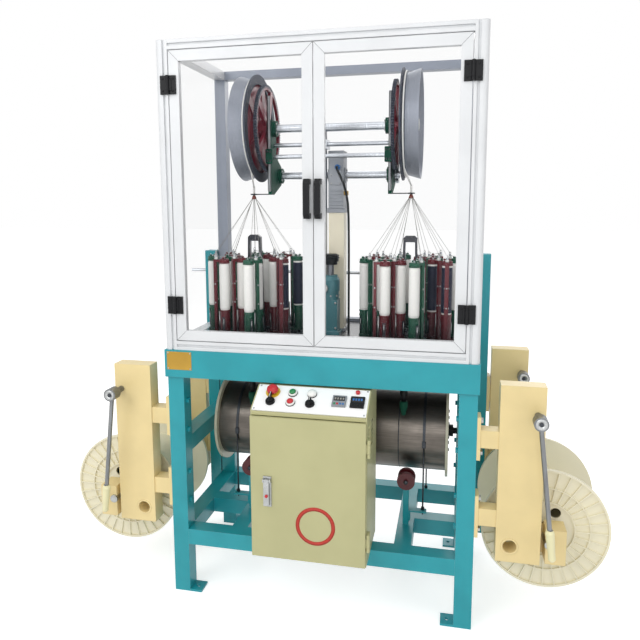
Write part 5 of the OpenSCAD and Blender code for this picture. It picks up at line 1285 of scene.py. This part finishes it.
# %% Stands and rollers
HUB_FRONTS, PIVOT_Y, ROLLER_HALF = (-0.376, 0.144), -0.290, 0.0335
SPINDLE_YS, HUB_YS = (-0.296, 0.296), (-0.190, 0.130)
LEVER_CAP = [(0, 0), (0.019, 0), (0.0175, 0.0018), (0.010, 0.0022), (0.0095, 0.0010), (0, 0.0010)]
# The dark disc in the cap's recess is painted shade for a hole.
CAP_HOLE_SHADE = [(0, 0), (0.0070, 0), (0.0060, 0.0006), (0, 0.0006)]
BUSH = [(0.0225, -0.004), (0.0288, -0.004), (0.0288, 0.0004), (0.0275, 0.0018), (0.0225, 0.0018)]
SPINDLE_END = [(0, 0), (0.0150, 0), (0.0135, 0.002), (0.005, 0.0024), (0, 0.001)]
HUB_RING = [(0.0155, -0.002), (0.0270, -0.002), (0.0270, 0.0015), (0.0245, 0.0030), (0.0155, 0.0030)]
for side in HANDS:
    lever, pivot, spindle, roller = (
        Vector(joints[f"{side}_{name}"]["pos_m"]) for name in ("levers", "cradle", "spool", "guide_roller"))
    caps, bush, ends, hubs, pins = (bmesh.new() for _ in range(5))
    for y in HUB_FRONTS:
        lathe(caps, (lever.x, y, lever.z), FRONTWARDS, LEVER_CAP, steps=28)
        lathe(caps, (lever.x, y - 0.0011, lever.z), FRONTWARDS, CAP_HOLE_SHADE, steps=20, index=1)
    lathe(bush, (pivot.x, PIVOT_Y, pivot.z), FRONTWARDS, BUSH, steps=40, closed=True)
    for k, out in enumerate((-1, 1)):
        lathe(ends, (spindle.x, SPINDLE_YS[k], spindle.z), (0, out, 0), SPINDLE_END, steps=28)
        lathe(hubs, (spindle.x, HUB_YS[k], spindle.z), (0, out, 0), HUB_RING, steps=36, closed=True)
        screws(pins, [roller + Vector((0, out * ROLLER_HALF, 0))], (0, out, 0), 0.008, 0.005, steps=16)
    piece(f"{side}_lever_caps", caps, f"{side}_levers", bolt_steel, dark_steel, slot="bare_steel")
    piece(f"{side}_pivot_bush", bush, f"{side}_cradle", cream_enamel, slot="cream_paint")
    piece(f"{side}_spindle_ends", ends, f"{side}_cradle", bolt_steel, slot="bare_steel")
    piece(f"{side}_spool_hub_rings", hubs, f"{side}_spool", bead_brown, slot="spool_plastic")
    piece(f"{side}_roller_screws", pins, "frame", dark_steel, slot="bare_steel")
tell("stand and roller details")

# %% [markdown]
# ## The take-up drum
# The drum is rolled from sheet, so it has seams, and its flanges are screwed on. A seam could be a
# groove, but the drum's own mesh isn't changed. A thin dark bead round the drum looks the same from
# where one stands. Seams and screws turn with the drum.

# %% Drum seams and screws
SEAMS_X, FLANGE_X, FLANGE_SCREW_R = (-0.27, 0.0, 0.27), 0.453, 0.075
SEAM = [(0.1528, -0.002), (0.1536, -0.0015), (0.1536, 0.0015), (0.1528, 0.002)]
drum = Vector(joints["takeup_drum"]["pos_m"])
bm = bmesh.new()
for hand in HANDS.values():
    flange = Vector((hand * FLANGE_X, drum.y, drum.z))
    screws(bm, around(flange, FLANGE_SCREW_R, 6), (hand, 0, 0), 0.0065, 0.004)
for x in SEAMS_X:
    lathe(bm, (x, drum.y, drum.z), (1, 0, 0), SEAM, steps=72, index=1)
piece("drum_screws_and_seams", bm, "takeup_drum", bolt_steel, dark_steel, slot="drum_cover")
tell("drum seams and screws")

# %% [markdown]
# ## Core guides
# Under the deck each head has a guide for the core that runs up into the braid: a black bush with
# a green lip, which hangs from the deck. Two spun outlines, one below the other, give its steps.

# %% Core guides
DECK_LOW, GUIDE_X, GUIDE_Y, BUSH_LONG = 0.845, 0.290, -0.0915, 0.112
CORE_BUSH = [
    (0.0, 0.0), (0.020, 0.0), (0.020, 0.006), (0.011, 0.009), (0.011, 0.055), (0.014, 0.058), (0.014, 0.088),
    (0.010, 0.092), (0.010, BUSH_LONG), (0.0, BUSH_LONG)]
CORE_LIP = [
    (0.0, 0.0), (0.0135, 0.0), (0.0150, 0.006), (0.0150, 0.022), (0.0105, 0.036), (0.0075, 0.052), (0.0, 0.052)]
bm = bmesh.new()
for hand in HANDS.values():
    lathe(bm, (hand * GUIDE_X, GUIDE_Y, DECK_LOW), (0, 0, -1), CORE_BUSH, steps=28)
    lathe(bm, (hand * GUIDE_X, GUIDE_Y, DECK_LOW - BUSH_LONG), (0, 0, -1), CORE_LIP, steps=28, index=1)
piece("core_guides", bm, "frame", black_nylon, green_enamel, slot="black_plastic")
tell("core guides")

# %% [markdown]
# ## Drum brakes
# A dark steel band lies over the drum as a brake. Threaded rods with nuts hold it down, in front at a
# bracket on the roller post and behind on the lower beam. The band could be a bent copy of a long
# strip. It is simpler to spin the strip's small section half a turn about the drum's axle.

# %% Drum brakes
BAND_X, BAND_W, BAND_T, BAND_R, ROD_R, NUT_WIDE = 0.365, 0.010, 0.001, 0.1545, 0.003, 0.0075
POST_X, POST_Y, BRACKET_Z, BRACKET_T, BEAM_Z = 0.3141, -0.072, 0.300, 0.006, 0.2501
bm = bmesh.new()
for hand in HANDS.values():
    x = hand * BAND_X
    section = ((-BAND_W / 2, 0.0), (BAND_W / 2, 0.0), (BAND_W / 2, BAND_T), (-BAND_W / 2, BAND_T))
    strip = [bm.verts.new((x + dx, drum.y + BAND_R + dr, drum.z)) for dx, dr in section]
    edges = [bm.edges.new((a, b)) for a, b in zip(strip, strip[1:] + strip[:1])]
    bmesh.ops.spin(bm, geom=strip + edges, cent=drum, axis=(1, 0, 0), angle=math.pi, steps=40)
    reach = BAND_R + BAND_T / 2
    for y, foot, nut_z in (
            (drum.y - reach, BRACKET_Z - 0.012, BRACKET_Z + BRACKET_T), (drum.y + reach, BEAM_Z, BEAM_Z)):
        block(bm, (x - 0.007, y - 0.004, drum.z - 0.020), (x + 0.007, y + 0.004, drum.z + 0.004), 0.001)
        rod(bm, (x, y, foot), (x, y, drum.z - 0.019), ROD_R, 12)
        rod(bm, (x, y, nut_z), (x, y, nut_z + 0.006), NUT_WIDE, 6, smooth=False)
        rod(bm, (x, y, nut_z + 0.006), (x, y, nut_z + 0.010), NUT_WIDE, 6, smooth=False)
    near, far = sorted((hand * POST_X, hand * (BAND_X + 0.014)))
    block(bm, (near, POST_Y - 0.011, BRACKET_Z), (far, POST_Y + 0.018, BRACKET_Z + BRACKET_T), 0.001, index=1)
    near, far = sorted((hand * POST_X, hand * (POST_X + BRACKET_T)))
    block(
        bm, (near, POST_Y - 0.011, BRACKET_Z - 0.034), (far, POST_Y + 0.011, BRACKET_Z + 0.0005), 0.001, index=1)
piece("drum_brake_bands", bm, "frame", dark_steel, teal_enamel, slot="bare_steel")
tell("drum brakes")

# %% [markdown]
# ## Floor
# The stage is a pale floor, as in a catalogue picture. More light on a grey floor would make it white,
# but it would bleach the machine as well. So the floor keeps a plain grey that takes the shadow, and
# adds a glow that only the camera, reflections and clear sheet can see.

# %% Floor
FLOOR_SIZE, FLOOR_GREY, FLOOR_GLOW, WHITE = 30.0, (0.82, 0.82, 0.82, 1.0), 0.55, (1, 1, 1, 1)


def in_view(tree):
    """1 for a ray from the camera, a reflection or clear sheet, and 0 for one that only lights."""
    rays = add(tree, "ShaderNodeLightPath").outputs
    seen = rays["Is Camera Ray"]
    for kind in ("Is Glossy Ray", "Is Transmission Ray"):
        seen = add(tree, "ShaderNodeMath", {0: seen, 1: rays[kind]}, operation="MAXIMUM").outputs[0]
    return seen


bm = bmesh.new()
bmesh.ops.create_grid(bm, x_segments=1, y_segments=1, size=FLOOR_SIZE)
floor_mesh = bpy.data.meshes.new("floor")
bm.to_mesh(floor_mesh)
bm.free()
put("floor", floor_mesh)
floor_paint, tree, shader, place = start("white_floor", Roughness=0.9, Base_Color=FLOOR_GREY)
glow = add(tree, "ShaderNodeEmission", {"Color": WHITE, "Strength": FLOOR_GLOW})
lit = add(tree, "ShaderNodeAddShader", {0: shader.outputs[0], 1: glow.outputs[0]})
chosen = add(tree, "ShaderNodeMixShader", {0: in_view(tree), 1: shader.outputs[0], 2: lit.outputs[0]})
tree.links.new(chosen.outputs[0], tree.nodes["Material Output"].inputs["Surface"])
floor_mesh.materials.append(floor_paint)
print("floor glow:", FLOOR_GLOW)

# %% [markdown]
# ## Light
# The machine stands in even daylight with soft shadows. Large area lamps from both sides, the front,
# the back and above give that, and the world fills what they leave. A single sun would throw the hard
# shadow of the case over the heads. The world is white where it is seen, and dimmer as a light.

# %% World and lamps
WORLD_LIGHT, AIM = 0.55, Vector((0, 0, 1.0))
LAMPS = (
    ("key", (-2.2, -3.6, 3.4), 2.5, 66.0),
    ("front", (0.4, -3.9, 1.9), 2.0, 24.0),
    ("fill", (3.2, -3.0, 2.2), 3.0, 20.0),
    ("rear", (0.5, 3.5, 3.5), 3.0, 60.0),
    ("top", (0.0, -1.3, 4.4), 2.5, 22.0))
world = bpy.data.worlds.new("studio")
bpy.context.scene.world = world
world.use_nodes = True
tree = world.node_tree
strength = add(tree, "ShaderNodeMapRange", {"Value": in_view(tree), 3: WORLD_LIGHT, 4: 1.0})
tree.links.new(strength.outputs[0], tree.nodes["Background"].inputs["Strength"])
tree.nodes["Background"].inputs["Color"].default_value = WHITE
for name, at, size, power in LAMPS:
    lamp = bpy.data.lights.new(name, "AREA")
    lamp.size = size
    lamp.energy = power
    turn = (AIM - Vector(at)).to_track_quat("-Z", "Y").to_matrix().to_4x4()
    put(name, lamp).matrix_world = Matrix.Translation(at) @ turn
bpy.context.scene.view_settings.view_transform = "Standard"
print("lamps:", len(LAMPS), "power:", sum(lamp[3] for lamp in LAMPS), "W")
